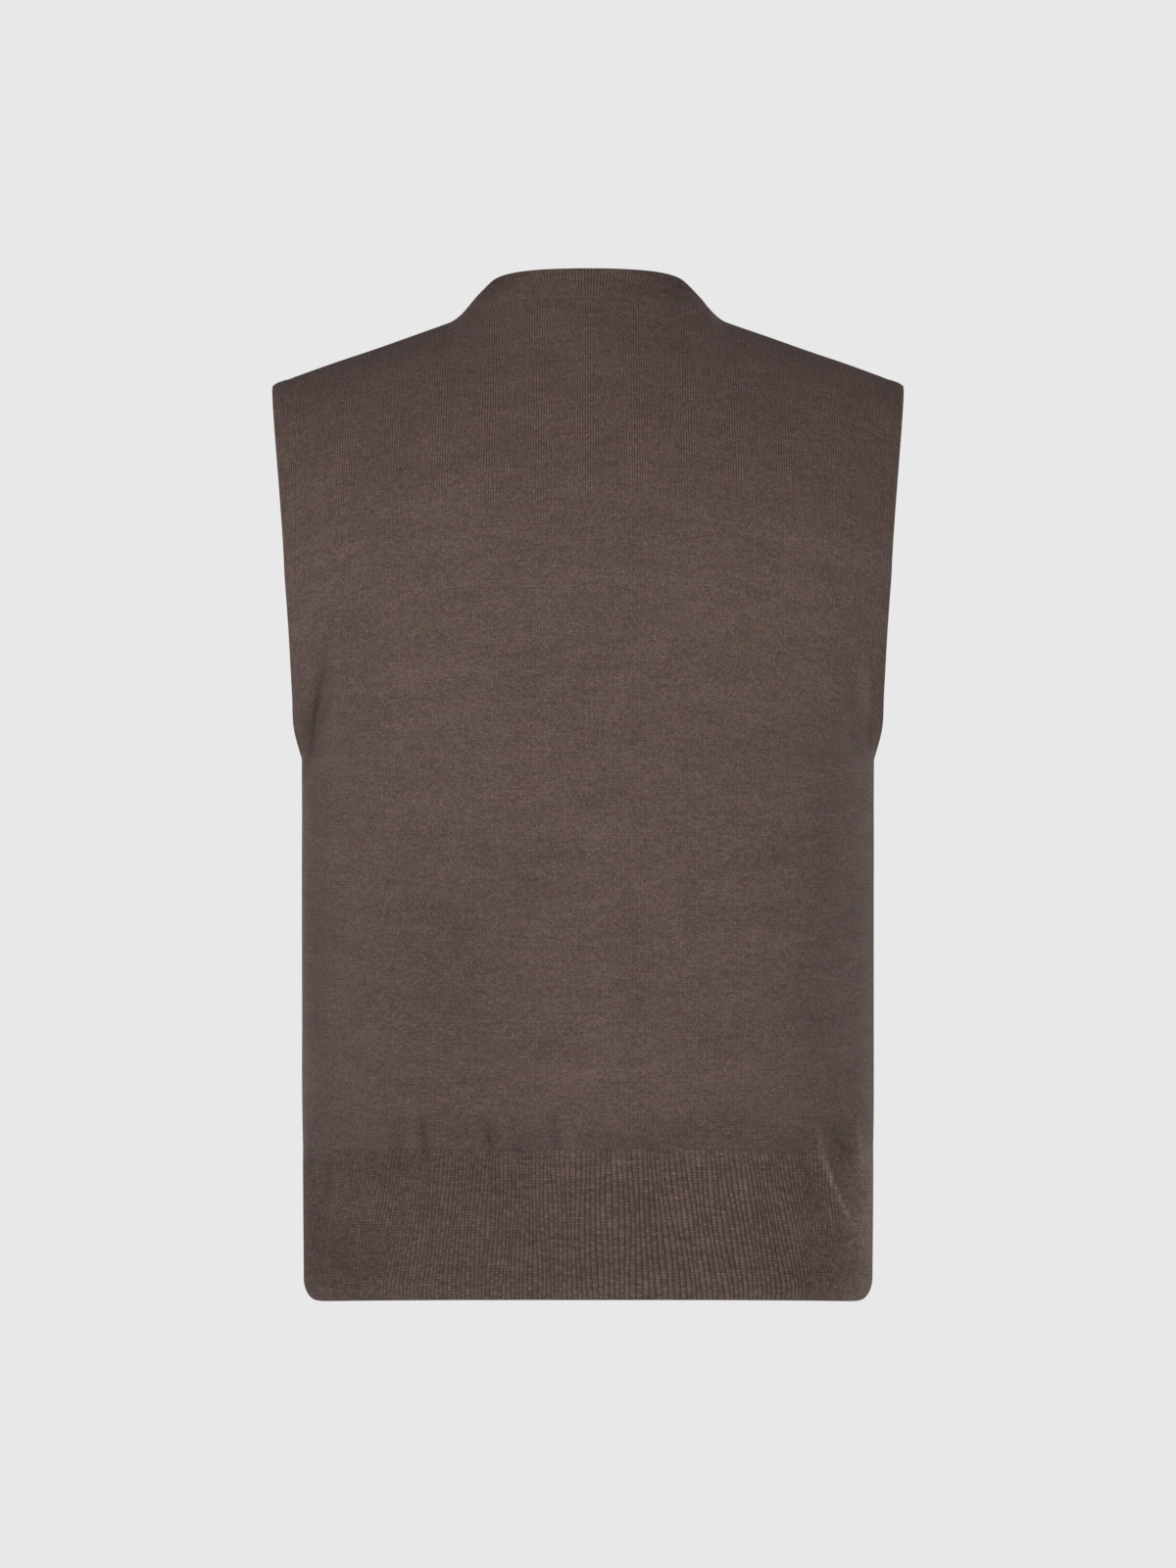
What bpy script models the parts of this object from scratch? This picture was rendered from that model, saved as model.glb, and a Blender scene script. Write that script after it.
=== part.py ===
"""Sleeveless crew-neck pullover in fine knit, hollow, in the shape it has when it is worn.

Lengths are in metres. +Z is up, +Y is the way the chest faces and +X is the wearer's right.
Heights in the tables are measured from the lower edge of the hem rib at the side seams.
"""

import math
from collections import namedtuple

import bmesh
import bpy
import numpy as np

BACK = -1
FRONT = 1

# Cloth
WALL = 0.0020             # thickness of the knit
SEAM = 0.0003             # gap between neighbouring pieces

# Heights
SHOULDER_HOLD = 0.630     # the origin: the point between the shoulders that holds the garment up
RIB_TOP = 0.1020          # top of the hem rib at the side seams
UNDERARM = 0.358          # lowest point of the armholes
CHEST = 0.480             # level section where the panels are fullest
SHOULDER_TIP = 0.6068     # outer end of the shoulder seams

# Level sections of the body: half of the width, and how far the back and the front stand out
Section = namedtuple("Section", "height half_width back front squareness")
HEM_SECTIONS = (
    Section(0.000, 0.1785, 0.1090, 0.1110, 2.40),
    Section(0.005, 0.1852, 0.1130, 0.1150, 2.40),
    Section(0.017, 0.1882, 0.1148, 0.1168, 2.40),
    Section(0.060, 0.1886, 0.1150, 0.1172, 2.40),
    Section(0.110, 0.1888, 0.1165, 0.1188, 2.40),
)
BODY_SECTIONS = (
    Section(0.100, 0.1888, 0.1166, 0.1189, 2.41),
    Section(0.112, 0.1891, 0.1190, 0.1213, 2.43),
    Section(0.130, 0.1894, 0.1211, 0.1234, 2.44),
    Section(0.155, 0.1895, 0.1212, 0.1238, 2.45),
    Section(0.205, 0.1895, 0.1188, 0.1222, 2.45),
    Section(0.275, 0.1895, 0.1165, 0.1204, 2.45),
    Section(0.358, 0.1895, 0.1170, 0.1204, 2.45),
    Section(0.420, 0.1895, 0.1190, 0.1220, 2.45),
    Section(0.480, 0.1895, 0.1200, 0.1215, 2.50),
)

# Armholes: the half-width between their edges, and how far the edges stand from the side seam
Edge = namedtuple("Edge", "height half_width")
ARMHOLE_EDGE = (
    Edge(0.358, 0.1895),
    Edge(0.366, 0.1911),
    Edge(0.377, 0.1932),
    Edge(0.400, 0.1938),
    Edge(0.440, 0.1955),
    Edge(0.480, 0.1982),
)
ARMHOLE_DEPTH = {BACK: 0.075, FRONT: 0.062}
CHEST_NARROWER = {BACK: 0.0, FRONT: 0.005}    # the front armhole is scooped this much deeper

# Shoulders and neck
SHOULDER_HALF = 0.2093
SHOULDER_SLOPE = 0.346
SHOULDER_SPREAD = 1.3     # how late a panel's columns spread out on their way to the shoulder
TOP_SOFTNESS = 0.24       # below the top edge its corner at the side neck is rounded over this share
TOP_SAMPLES = 9
TOP_POWER = 2.8           # how late a column turns to its own place on the sharp top edge
NECK_HALF = 0.080         # side neck points, where the band meets the shoulder seams
NECK_DEPTH = {BACK: 0.065, FRONT: 0.078}
NECK_HEIGHT = {BACK: 0.6602, FRONT: 0.5895}   # at mid-back and mid-front
NECK_SIDE_HEIGHT = 0.6570
NECK_CURVE = {BACK: 1.2, FRONT: 1.4}          # how level the ring stays near the side neck points
NECK_FILLET = 0.012       # the shoulder seam turns up to the neck over this width
NECK_FILLET_RISE = 0.0055
NECK_ARC = {BACK: 40.0, FRONT: 38.0}          # degrees: how far the panel turns over at mid-neck
NECK_ARC_POWER = 4        # how late that grows to the shoulder's full quarter turn

# Neckband
BAND_HEIGHT = 0.020
BAND_BULGE = 0.0008
BAND_LEAN = {BACK: 15.0, FRONT: 36.0}         # degrees from upright at mid-back and mid-front
BAND_LEAN_SIDE = 45.0
BAND_LEAN_POWER = 4       # how late the lean grows on the way round to the side
BAND_RIBS = 236
BAND_RIB_RELIEF = 0.0006
BAND_INNER_STEPS = 48

# Hem rib
HEM_LEVELS = (0.0, 0.05, 0.17, 1.0)           # shares of the rib's height that get a row
HEM_RIBS = 152            # in each half
HEM_RIB_RELIEF = 0.0008
HEM_RIB_SPREAD = 0.09     # ribs stand wider apart over the middle than at the sides
HEM_INNER_STEPS = 30
HEM_LIFT = 0.0085         # the lower edge is this much higher at mid-back and mid-front
RIB_TOP_LIFT = 0.0047     # and the rib's upper edge this much
LIFT_POWER = 1.4

# Panel grid
NECK_SHARE = 0.42         # share of a panel's half-width that ends at the neck
NECK_COLUMNS = 8
SHOULDER_COLUMNS = 6
ROWS_BELOW_ARMHOLE = 11
ROWS_AT_ARMHOLE = 8
ROWS_ABOVE_CHEST = 9
UNDERARM_ROW_MIDDLE = 0.335   # the grid row that ends at the underarm is lower in the middle
ROW_BEND = 5.0
CURVE_STEPS = 400

# Large soft folds of the panels: ridges are positive, troughs negative
FOLD_END_POWER = 0.7      # how soon a fold reaches its depth from either end
FOLD_EDGE_POWER = 12      # how close to a panel's edge its folds fade out
Fold = namedtuple("Fold", "side top_across top_height foot_across foot_height spread depth")
FOLDS = (
    Fold(BACK, 0.012, 0.345, 0.016, 0.095, 0.022, 0.0018),
    Fold(BACK, 0.070, 0.310, 0.058, 0.120, 0.026, -0.0012),
    Fold(BACK, -0.190, 0.290, -0.172, 0.140, 0.022, -0.0032),
    Fold(BACK, -0.128, 0.260, -0.140, 0.110, 0.022, 0.0018),
    Fold(BACK, 0.196, 0.345, 0.178, 0.110, 0.024, -0.0034),
    Fold(BACK, 0.140, 0.240, 0.128, 0.105, 0.020, 0.0016),
    Fold(BACK, -0.178, 0.470, -0.205, 0.330, 0.020, -0.0030),
    Fold(BACK, 0.180, 0.465, 0.206, 0.335, 0.020, -0.0022),
    Fold(FRONT, -0.022, 0.330, -0.034, 0.100, 0.022, 0.0020),
    Fold(FRONT, -0.090, 0.290, -0.078, 0.115, 0.022, -0.0018),
    Fold(FRONT, 0.068, 0.280, 0.086, 0.105, 0.022, 0.0018),
    Fold(FRONT, 0.186, 0.330, 0.170, 0.120, 0.024, -0.0032),
    Fold(FRONT, -0.196, 0.320, -0.182, 0.110, 0.024, -0.0030),
    Fold(FRONT, -0.172, 0.470, -0.200, 0.330, 0.020, -0.0028),
    Fold(FRONT, 0.170, 0.470, 0.198, 0.330, 0.020, -0.0026),
)

SHARP_ANGLE = 40.0        # degrees: the crests of the ribs and the edges of the walls stay sharp

MELANGE_BROWN = (0.115, 0.079, 0.070, 1.0)
RIB_BROWN = (0.104, 0.072, 0.065, 1.0)
KNIT_ROUGHNESS = 0.92


def through(knots, values, at):
    """Smooth curve through a table's rows, read at one place or at many."""
    knots = np.asarray(knots, float)
    values = np.asarray(values, float)
    slopes = np.gradient(values, knots)
    row = np.clip(np.searchsorted(knots, at) - 1, 0, len(knots) - 2)
    span = knots[row + 1] - knots[row]
    t = np.clip((at - knots[row]) / span, 0.0, 1.0)
    start = (2 * t**3 - 3 * t**2 + 1) * values[row] + (t**3 - 2 * t**2 + t) * span * slopes[row]
    end = (3 * t**2 - 2 * t**3) * values[row + 1] + (t**3 - t**2) * span * slopes[row + 1]
    return start + end


def column(table, name):
    return [getattr(row, name) for row in table]


def read(table, name, height):
    return float(through(column(table, "height"), column(table, name), height))


def blend(start, end, share):
    return start + (end - start) * share


def half_curve(edge_x, edge_y, depth, squareness):
    """Half of a level section, from the middle of a panel out to its edge: x, y and length."""
    last = math.acos((edge_y / depth) ** (squareness / 2))
    turn = np.linspace(0.0, last, CURVE_STEPS)
    half_width = edge_x / math.sin(last) ** (2 / squareness)
    x = half_width * np.sin(turn) ** (2 / squareness)
    y = depth * np.cos(turn) ** (2 / squareness)
    length = np.concatenate([[0.0], np.cumsum(np.hypot(np.diff(x), np.diff(y)))])
    return x, y, length


def along(curve, share):
    """Point of a half curve at a share of its length, and that length."""
    x, y, length = curve
    reach = share * length[-1]
    return float(np.interp(reach, length, x)), float(np.interp(reach, length, y)), reach


def armhole_reach(side, height):
    """How far the panel's edge stands from the side seam plane at a height."""
    if height <= UNDERARM:
        return SEAM / 2
    below_chest = min(1.0, (CHEST - height) / (CHEST - UNDERARM))
    return max(SEAM / 2, ARMHOLE_DEPTH[side] * math.sqrt(1.0 - below_chest**2))


def body_curve(side, height):
    """Half of the panel's section at a height up to the chest."""
    name = "back" if side == BACK else "front"
    depth = read(BODY_SECTIONS, name, height)
    squareness = read(BODY_SECTIONS, "squareness", height)
    if height <= UNDERARM:
        edge_x = read(BODY_SECTIONS, "half_width", height)
    else:
        up = (height - UNDERARM) / (SHOULDER_TIP - UNDERARM)
        edge_x = read(ARMHOLE_EDGE, "half_width", height)
        edge_x -= CHEST_NARROWER[side] * math.sin(math.pi * up)
    return half_curve(edge_x, armhole_reach(side, height), depth, squareness)


def lift(table, side, share, amount):
    """How much an edge rises from the side seam towards the middle of a panel."""
    name = "back" if side == BACK else "front"
    row = table[1]
    depth = getattr(row, name)
    curve = half_curve(row.half_width, SEAM / 2, depth, row.squareness)
    y = along(curve, share)[1]
    return amount * (y / depth) ** LIFT_POWER


def shoulder_height(x):
    fillet = max(0.0, (NECK_HALF + NECK_FILLET - x) / NECK_FILLET)
    return SHOULDER_TIP + SHOULDER_SLOPE * (SHOULDER_HALF - x) + NECK_FILLET_RISE * fillet**2


def neck_ring(turn):
    """Seam between the panels and the band; turn runs from 0 at mid-back to pi at mid-front."""
    side = BACK if math.cos(turn) > 0 else FRONT
    x = NECK_HALF * math.sin(turn)
    y = -NECK_DEPTH[side] * math.cos(turn)
    height = blend(NECK_SIDE_HEIGHT, NECK_HEIGHT[side], abs(math.cos(turn)) ** NECK_CURVE[side])
    return np.array([x, y, height])


def neck_seam(turn):
    """The neck ring as the panels' columns end on it: straight from one column to the next."""
    step = math.pi / 2 / NECK_COLUMNS
    k = min(int(turn / step), 2 * NECK_COLUMNS - 1)
    return blend(neck_ring(k * step), neck_ring((k + 1) * step), turn / step - k)


def top_edge(side, signed_share):
    """End of a panel's column at the neck or the shoulder seam: x, y, z and how far it turns over."""
    share = abs(signed_share)
    hand = -1.0 if signed_share < 0 else 1.0
    if share <= NECK_SHARE:
        turn = math.pi / 2 * share / NECK_SHARE
        x, y, height = neck_ring(turn if side == BACK else math.pi - turn)
        arc = math.radians(blend(NECK_ARC[side], 90.0, math.sin(turn) ** NECK_ARC_POWER))
        return np.array([hand * x, side * max(SEAM / 2, abs(y)), height, arc])
    x = blend(NECK_HALF, SHOULDER_HALF, (share - NECK_SHARE) / (1.0 - NECK_SHARE))
    return np.array([hand * x, side * SEAM / 2, shoulder_height(x), math.pi / 2])


def soft_top_edge(side, signed_share):
    """The top edge with its corner at the side neck rounded, for the cloth some way below it."""
    reach = min(TOP_SOFTNESS, 1.0 - abs(signed_share))
    steps = np.linspace(-1.0, 1.0, TOP_SAMPLES)
    weights = 1.0 - steps**2 + 1.0 / TOP_SAMPLES
    ends = [top_edge(side, signed_share + reach * step) for step in steps]
    return np.average(ends, axis=0, weights=weights)


def fold_at(side, across, height):
    """How far the large folds push the cloth out at a place on a panel."""
    total = 0.0
    for fold in FOLDS:
        down = (fold.top_height - height) / (fold.top_height - fold.foot_height)
        if fold.side != side or not 0.0 < down < 1.0:
            continue
        middle = blend(fold.top_across, fold.foot_across, down)
        near = math.exp(-(((across - middle) / fold.spread) ** 2))
        total += fold.depth * near * math.sin(math.pi * down) ** FOLD_END_POWER
    return total


def column_shares():
    neck = np.linspace(0.0, NECK_SHARE, NECK_COLUMNS + 1)
    shoulder = np.linspace(NECK_SHARE, 1.0, SHOULDER_COLUMNS + 1)
    half = np.concatenate([neck, shoulder[1:]])
    return np.concatenate([-half[:0:-1], half])


def lower_heights(side, share):
    """Heights of one column's points from the hem rib up to the chest."""
    hem = RIB_TOP + lift(BODY_SECTIONS, side, share, RIB_TOP_LIFT)
    bend = share**ROW_BEND
    underarm_row = blend(UNDERARM_ROW_MIDDLE, UNDERARM, bend)
    heights = [blend(hem, underarm_row, k / ROWS_BELOW_ARMHOLE) for k in range(ROWS_BELOW_ARMHOLE)]
    for k in range(ROWS_AT_ARMHOLE + 1):
        step = k / ROWS_AT_ARMHOLE
        edge = CHEST - (CHEST - UNDERARM) * math.cos(math.pi / 2 * step)
        middle = blend(UNDERARM_ROW_MIDDLE, CHEST, step)
        heights.append(blend(middle, edge, bend))
    return heights


def panel_column(side, signed_share):
    """One column of a panel's outer points, from the hem rib to the top edge, with fold depths."""
    share = abs(signed_share)
    hand = -1.0 if signed_share < 0 else 1.0
    points = []
    folds = []
    for height in lower_heights(side, share):
        x, y, reach = along(body_curve(side, height), share)
        points.append((hand * x, side * y, height))
        folds.append(fold_at(side, hand * reach, height) * (1.0 - share**FOLD_EDGE_POWER))
    base = points[-1]
    soft = soft_top_edge(side, signed_share)
    sharp = top_edge(side, signed_share)
    for k in range(1, ROWS_ABOVE_CHEST + 1):
        up = k / ROWS_ABOVE_CHEST
        x, y, height, arc = blend(soft, sharp, up**TOP_POWER)
        rise = math.sin(arc * up) / math.sin(arc)
        lean = (1.0 - math.cos(arc * up)) / (1.0 - math.cos(arc))
        x = blend(base[0], x, rise**SHOULDER_SPREAD)
        points.append((x, blend(base[1], y, lean), blend(CHEST, height, rise)))
        folds.append(0.0)
    return points, folds


def grid_normals(grid, outward):
    """Unit normals of a grid of points, pointing the way outward(point) does."""
    up = np.gradient(grid, axis=0)
    across = np.gradient(grid, axis=1)
    normals = np.cross(across, up)
    normals /= np.linalg.norm(normals, axis=2, keepdims=True)
    flip = np.sign(np.sum(normals * outward, axis=2, keepdims=True))
    return normals * np.where(flip == 0, 1, flip)


def level_at_seams(normals):
    """Keeps the side and shoulder edges of a panel in the seam plane."""
    underarm_row = ROWS_BELOW_ARMHOLE
    normals[: underarm_row + 1, 0, 1] = 0.0
    normals[: underarm_row + 1, -1, 1] = 0.0
    normals[-1, : SHOULDER_COLUMNS + 1, 1] = 0.0
    normals[-1, -SHOULDER_COLUMNS - 1 :, 1] = 0.0
    return normals / np.linalg.norm(normals, axis=2, keepdims=True)


def panel(side):
    """Outer and inner grids of the back or the front panel."""
    columns = [panel_column(side, share) for share in column_shares()]
    grid = np.array([points for points, folds in columns]).transpose(1, 0, 2)
    depth = np.array([folds for points, folds in columns]).T[:, :, None]
    outward = grid - np.array([0.0, 0.0, UNDERARM])
    normals = level_at_seams(grid_normals(grid, outward))
    outer = grid + normals * depth
    return outer, outer - normals * WALL


def rib_offsets(ribs, relief):
    """Places of crests and valleys along ribs, as shares from 0 to 1, and their offsets."""
    places = np.arange(2 * ribs + 1) / (2 * ribs)
    offsets = np.where(np.arange(2 * ribs + 1) % 2 == 1, relief / 2, -relief / 2)
    return places, offsets


def hem_row(side, level, places, offsets):
    """One row of the hem rib: points at places from -1 to 1 around its half, moved outwards."""
    name = "back" if side == BACK else "front"
    row = []
    for place, offset in zip(places, offsets):
        share = abs(place)
        hand = -1.0 if place < 0 else 1.0
        low = lift(HEM_SECTIONS, side, share, HEM_LIFT)
        high = RIB_TOP - SEAM + lift(BODY_SECTIONS, side, share, RIB_TOP_LIFT)
        height = blend(low, high, level)
        nominal = RIB_TOP * level
        half_width = read(HEM_SECTIONS, "half_width", nominal)
        depth = read(HEM_SECTIONS, name, nominal)
        squareness = read(HEM_SECTIONS, "squareness", nominal)
        curve = half_curve(half_width, SEAM / 2, depth, squareness)
        x, y, _ = along(curve, share)
        slope = np.array([x / half_width**2, y / depth**2])
        if share > 1.0 - 1e-9:
            slope = np.array([1.0, 0.0])
        slope /= np.linalg.norm(slope)
        row.append((hand * (x + offset * slope[0]), side * (y + offset * slope[1]), height))
    return row


def hem_rib(side):
    """Outer rows with raised ribs and plain inner rows of one half of the hem rib."""
    places, offsets = rib_offsets(HEM_RIBS, HEM_RIB_RELIEF)
    places = 2 * places - 1
    spread = (1.0 + HEM_RIB_SPREAD) * places - HEM_RIB_SPREAD * places**3
    plain = np.linspace(-1.0, 1.0, HEM_INNER_STEPS + 1)
    inset = np.full(len(plain), -WALL)
    outer = [hem_row(side, level, spread, offsets) for level in HEM_LEVELS]
    inner = [hem_row(side, level, plain, inset) for level in HEM_LEVELS]
    return outer, inner


def band_lean(turn):
    side = BACK if math.cos(turn) > 0 else FRONT
    return math.radians(blend(BAND_LEAN[side], BAND_LEAN_SIDE, math.sin(turn) ** BAND_LEAN_POWER))


def band_point(place, height, offset):
    """Point of the neckband: place from 0 to 1 round the neck, height up it, offset outwards."""
    turn = 2 * math.pi * place
    half_turn = turn if turn <= math.pi else 2 * math.pi - turn
    hand = 1.0 if turn <= math.pi else -1.0
    step = 1e-3
    near = half_turn if half_turn < math.pi - step else math.pi - step
    near = max(near, step)
    tangent = neck_ring(near + step) - neck_ring(near - step)
    if half_turn < step or half_turn > math.pi - step:
        tangent = np.array([tangent[0], 0.0, 0.0])
    tangent /= np.linalg.norm(tangent)
    inward = np.array([-tangent[1], tangent[0], 0.0])
    inward /= np.linalg.norm(inward)
    upright = np.cross(inward, tangent)
    upright *= np.sign(upright[2])
    lean = band_lean(half_turn)
    rise = math.cos(lean) * upright + math.sin(lean) * inward
    outward = math.sin(lean) * upright - math.cos(lean) * inward
    bulge = BAND_BULGE * math.sin(math.pi * height / BAND_HEIGHT)
    point = neck_seam(half_turn) + rise * (height + SEAM) + outward * (offset + bulge)
    return np.array([hand * point[0], point[1], point[2]])


def neckband():
    """Outer rings with raised ribs and plain inner rings of the neckband."""
    levels = (0.0, BAND_HEIGHT / 2, BAND_HEIGHT)
    places, offsets = rib_offsets(BAND_RIBS, BAND_RIB_RELIEF)
    plain = np.arange(BAND_INNER_STEPS) / BAND_INNER_STEPS
    outer = [[band_point(p, z, o) for p, o in zip(places[:-1], offsets)] for z in levels]
    inner = [[band_point(p, z, -WALL) for p in plain] for z in levels]
    return outer, inner


def add_rows(mesh, rows):
    """Adds rows of points, in the part's own frame, and returns their vertices."""
    hold = np.array([0.0, 0.0, SHOULDER_HOLD])
    return [[mesh.verts.new(np.array(point) - hold) for point in row] for row in rows]


def skin(mesh, rows, ring):
    """Fills between neighbouring rows of vertices."""
    for low, high in zip(rows, rows[1:]):
        count = len(low)
        for i in range(count if ring else count - 1):
            j = (i + 1) % count
            mesh.faces.new((low[i], low[j], high[j], high[i]))


def zip_edges(mesh, first, second, ring):
    """Fills between two edges that may have different numbers of vertices."""
    steps_a = len(first) if ring else len(first) - 1
    steps_b = len(second) if ring else len(second) - 1
    a = 0
    b = 0
    while a < steps_a or b < steps_b:
        here = (first[a % len(first)], second[b % len(second)])
        if a * steps_b == b * steps_a and steps_a == steps_b:
            a += 1
            b += 1
            mesh.faces.new((*here, second[b % len(second)], first[a % len(first)]))
        elif (a + 1) * steps_b <= (b + 1) * steps_a and a < steps_a or b == steps_b:
            a += 1
            mesh.faces.new((*here, first[a % len(first)]))
        else:
            b += 1
            mesh.faces.new((*here, second[b % len(second)]))


def wall(name, outer, inner, colour, ring=False):
    """Closed wall of cloth between outer and inner rows of points, as one named object."""
    mesh = bmesh.new()
    out = add_rows(mesh, outer)
    into = add_rows(mesh, inner)
    skin(mesh, out, ring)
    skin(mesh, into, ring)
    zip_edges(mesh, out[0], into[0], ring)
    zip_edges(mesh, out[-1], into[-1], ring)
    if not ring:
        for end in (0, -1):
            zip_edges(mesh, [row[end] for row in out], [row[end] for row in into], False)
    bmesh.ops.recalc_face_normals(mesh, faces=mesh.faces)
    data = bpy.data.meshes.new(name)
    mesh.to_mesh(data)
    mesh.free()
    data.shade_smooth()
    data.set_sharp_from_angle(angle=math.radians(SHARP_ANGLE))
    piece = bpy.data.objects.new(name, data)
    bpy.context.scene.collection.objects.link(piece)
    piece.data.materials.append(knit(name + "_knit", colour))
    return piece


def knit(name, colour):
    material = bpy.data.materials.new(name)
    material.use_nodes = True
    shader = material.node_tree.nodes["Principled BSDF"]
    shader.inputs["Base Color"].default_value = colour
    shader.inputs["Roughness"].default_value = KNIT_ROUGHNESS
    shader.inputs["Metallic"].default_value = 0.0
    return material


def main():
    for leftover in list(bpy.data.objects):
        bpy.data.objects.remove(leftover)
    wall("back_panel", *panel(BACK), MELANGE_BROWN)
    wall("front_panel", *panel(FRONT), MELANGE_BROWN)
    wall("hem_rib_back", *hem_rib(BACK), RIB_BROWN)
    wall("hem_rib_front", *hem_rib(FRONT), RIB_BROWN)
    wall("neckband", *neckband(), RIB_BROWN, ring=True)


main()
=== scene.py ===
import math

import bmesh
import bpy
import numpy as np
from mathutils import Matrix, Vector


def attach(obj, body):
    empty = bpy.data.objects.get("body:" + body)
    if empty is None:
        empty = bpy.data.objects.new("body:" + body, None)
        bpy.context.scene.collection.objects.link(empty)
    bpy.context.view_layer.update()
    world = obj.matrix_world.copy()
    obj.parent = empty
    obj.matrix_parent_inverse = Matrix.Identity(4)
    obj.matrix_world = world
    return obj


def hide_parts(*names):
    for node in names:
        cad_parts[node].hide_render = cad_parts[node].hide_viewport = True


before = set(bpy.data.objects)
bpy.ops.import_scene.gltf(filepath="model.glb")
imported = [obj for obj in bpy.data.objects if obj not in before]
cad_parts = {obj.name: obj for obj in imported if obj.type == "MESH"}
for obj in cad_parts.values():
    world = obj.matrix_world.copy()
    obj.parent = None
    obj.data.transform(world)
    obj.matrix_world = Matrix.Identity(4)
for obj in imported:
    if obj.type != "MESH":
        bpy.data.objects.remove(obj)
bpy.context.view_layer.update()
print("frame: loaded", len(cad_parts), "nodes")

backSide = -1
frontSide = 1
sideName = {backSide: "back", frontSide: "front"}

# What all the pieces share, in metres. Heights are above the hem at the side seams.
vest = {
    "wall": 0.0020,
    "shoulderHold": 0.630,
    "ribTop": 0.1020,
    "underarm": 0.358,
    "chest": 0.480,
    "shoulderTip": 0.6068,
    "curveSteps": 400,
    "sharpAngle": 75.0,
}

# Level sections of the worn body, one column of numbers for each name.
bodySections = {
    "height": (0.100, 0.112, 0.130, 0.155, 0.205, 0.275, 0.358, 0.420, 0.480),
    "halfWidth": (0.1888, 0.1891, 0.1894, 0.1895, 0.1895, 0.1895, 0.1895, 0.1895, 0.1895),
    "back": (0.1166, 0.1190, 0.1211, 0.1212, 0.1188, 0.1165, 0.1170, 0.1190, 0.1200),
    "front": (0.1189, 0.1213, 0.1234, 0.1238, 0.1222, 0.1204, 0.1204, 0.1220, 0.1215),
    "squareness": (2.41, 2.43, 2.44, 2.45, 2.45, 2.45, 2.45, 2.45, 2.50),
}
hemSections = {
    "height": (0.017, 0.060, 0.110),
    "halfWidth": (0.1882, 0.1886, 0.1888),
    "back": (0.1148, 0.1150, 0.1165),
    "front": (0.1168, 0.1172, 0.1188),
    "squareness": (2.40, 2.40, 2.40),
}
hemEdge = {"height": 0.0152, "halfWidth": 0.0093, "depth": 0.0054}  # it draws in this much
armhole = {
    "height": (0.358, 0.366, 0.377, 0.400, 0.440, 0.480),
    "halfWidth": (0.1895, 0.1911, 0.1932, 0.1938, 0.1955, 0.1982),
    "depth": {backSide: 0.075, frontSide: 0.062},
    "narrower": {backSide: 0.0, frontSide: 0.005},
    "flarePower": (36, 10),
    "settle": 0.050,
}
shoulder = {
    "half": 0.2093,
    "slope": 0.346,
    "spread": 1.3,
    "softness": 0.24,
    "softSamples": 9,
    "softPower": 2.8,
    "fillet": 0.012,
    "filletRise": 0.0055,
    "tipRound": 0.0042,
    "tipDrop": 0.0014,
}
neck = {
    "half": 0.080,
    "depth": {backSide: 0.065, frontSide: 0.078},
    "height": {backSide: 0.6602, frontSide: 0.5895},
    "sideHeight": 0.6570,
    "curve": {backSide: 1.2, frontSide: 1.4},
    "arc": {backSide: 40.0, frontSide: 38.0},
    "arcPower": 4,
    "share": 0.42,
}


def blend(start, end, share):
    return start + (end - start) * share


def smoothStep(low, high, value):
    t = np.clip((value - low) / (high - low), 0.0, 1.0)
    return t * t * (3.0 - 2.0 * t)


def through(knots, values, at):
    # smooth curve through the rows of a table
    knots = np.asarray(knots, float)
    values = np.asarray(values, float)
    slopes = np.gradient(values, knots)
    row = np.clip(np.searchsorted(knots, at) - 1, 0, len(knots) - 2)
    span = knots[row + 1] - knots[row]
    t = np.clip((at - knots[row]) / span, 0.0, 1.0)
    start = (2 * t**3 - 3 * t**2 + 1) * values[row] + (t**3 - 2 * t**2 + t) * span * slopes[row]
    end = (3 * t**2 - 2 * t**3) * values[row + 1] + (t**3 - t**2) * span * slopes[row + 1]
    return start + end


def readTable(table, name, height):
    return float(through(table["height"], table[name], height))


def hemMeasures(side, height):
    # half-width and depth of the hem rib at a height, and how far its rounded lower edge is drawn in
    drawn = 1.0 - math.sqrt(1.0 - max(0.0, 1.0 - height / hemEdge["height"]) ** 2)
    above = max(height, hemEdge["height"])
    halfWidth = readTable(hemSections, "halfWidth", above)
    return halfWidth, readTable(hemSections, sideName[side], above), drawn


def halfCurve(edgeX, edgeY, depth, squareness):
    # half of a level section, from the middle of a panel out to its edge
    last = math.acos((edgeY / depth) ** (squareness / 2))
    turn = np.linspace(0.0, last, vest["curveSteps"])
    halfWidth = edgeX / math.sin(last) ** (2 / squareness)
    x = halfWidth * np.sin(turn) ** (2 / squareness)
    y = depth * np.cos(turn) ** (2 / squareness)
    length = np.concatenate([[0.0], np.cumsum(np.hypot(np.diff(x), np.diff(y)))])
    return x, y, length


def alongCurve(curve, shares):
    x, y, length = curve
    reach = shares * length[-1]
    return np.interp(reach, length, x), np.interp(reach, length, y), reach


def liftOf(side, shares, amount):
    # an edge rises by this much from the side seams towards the middle
    names = ("halfWidth", sideName[side], "squareness")
    halfWidth, depth, squareness = (bodySections[name][1] for name in names)
    y = alongCurve(halfCurve(halfWidth, 0.0, depth, squareness), shares)[1]
    return amount * (y / depth) ** hemRib["liftPower"]


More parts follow.
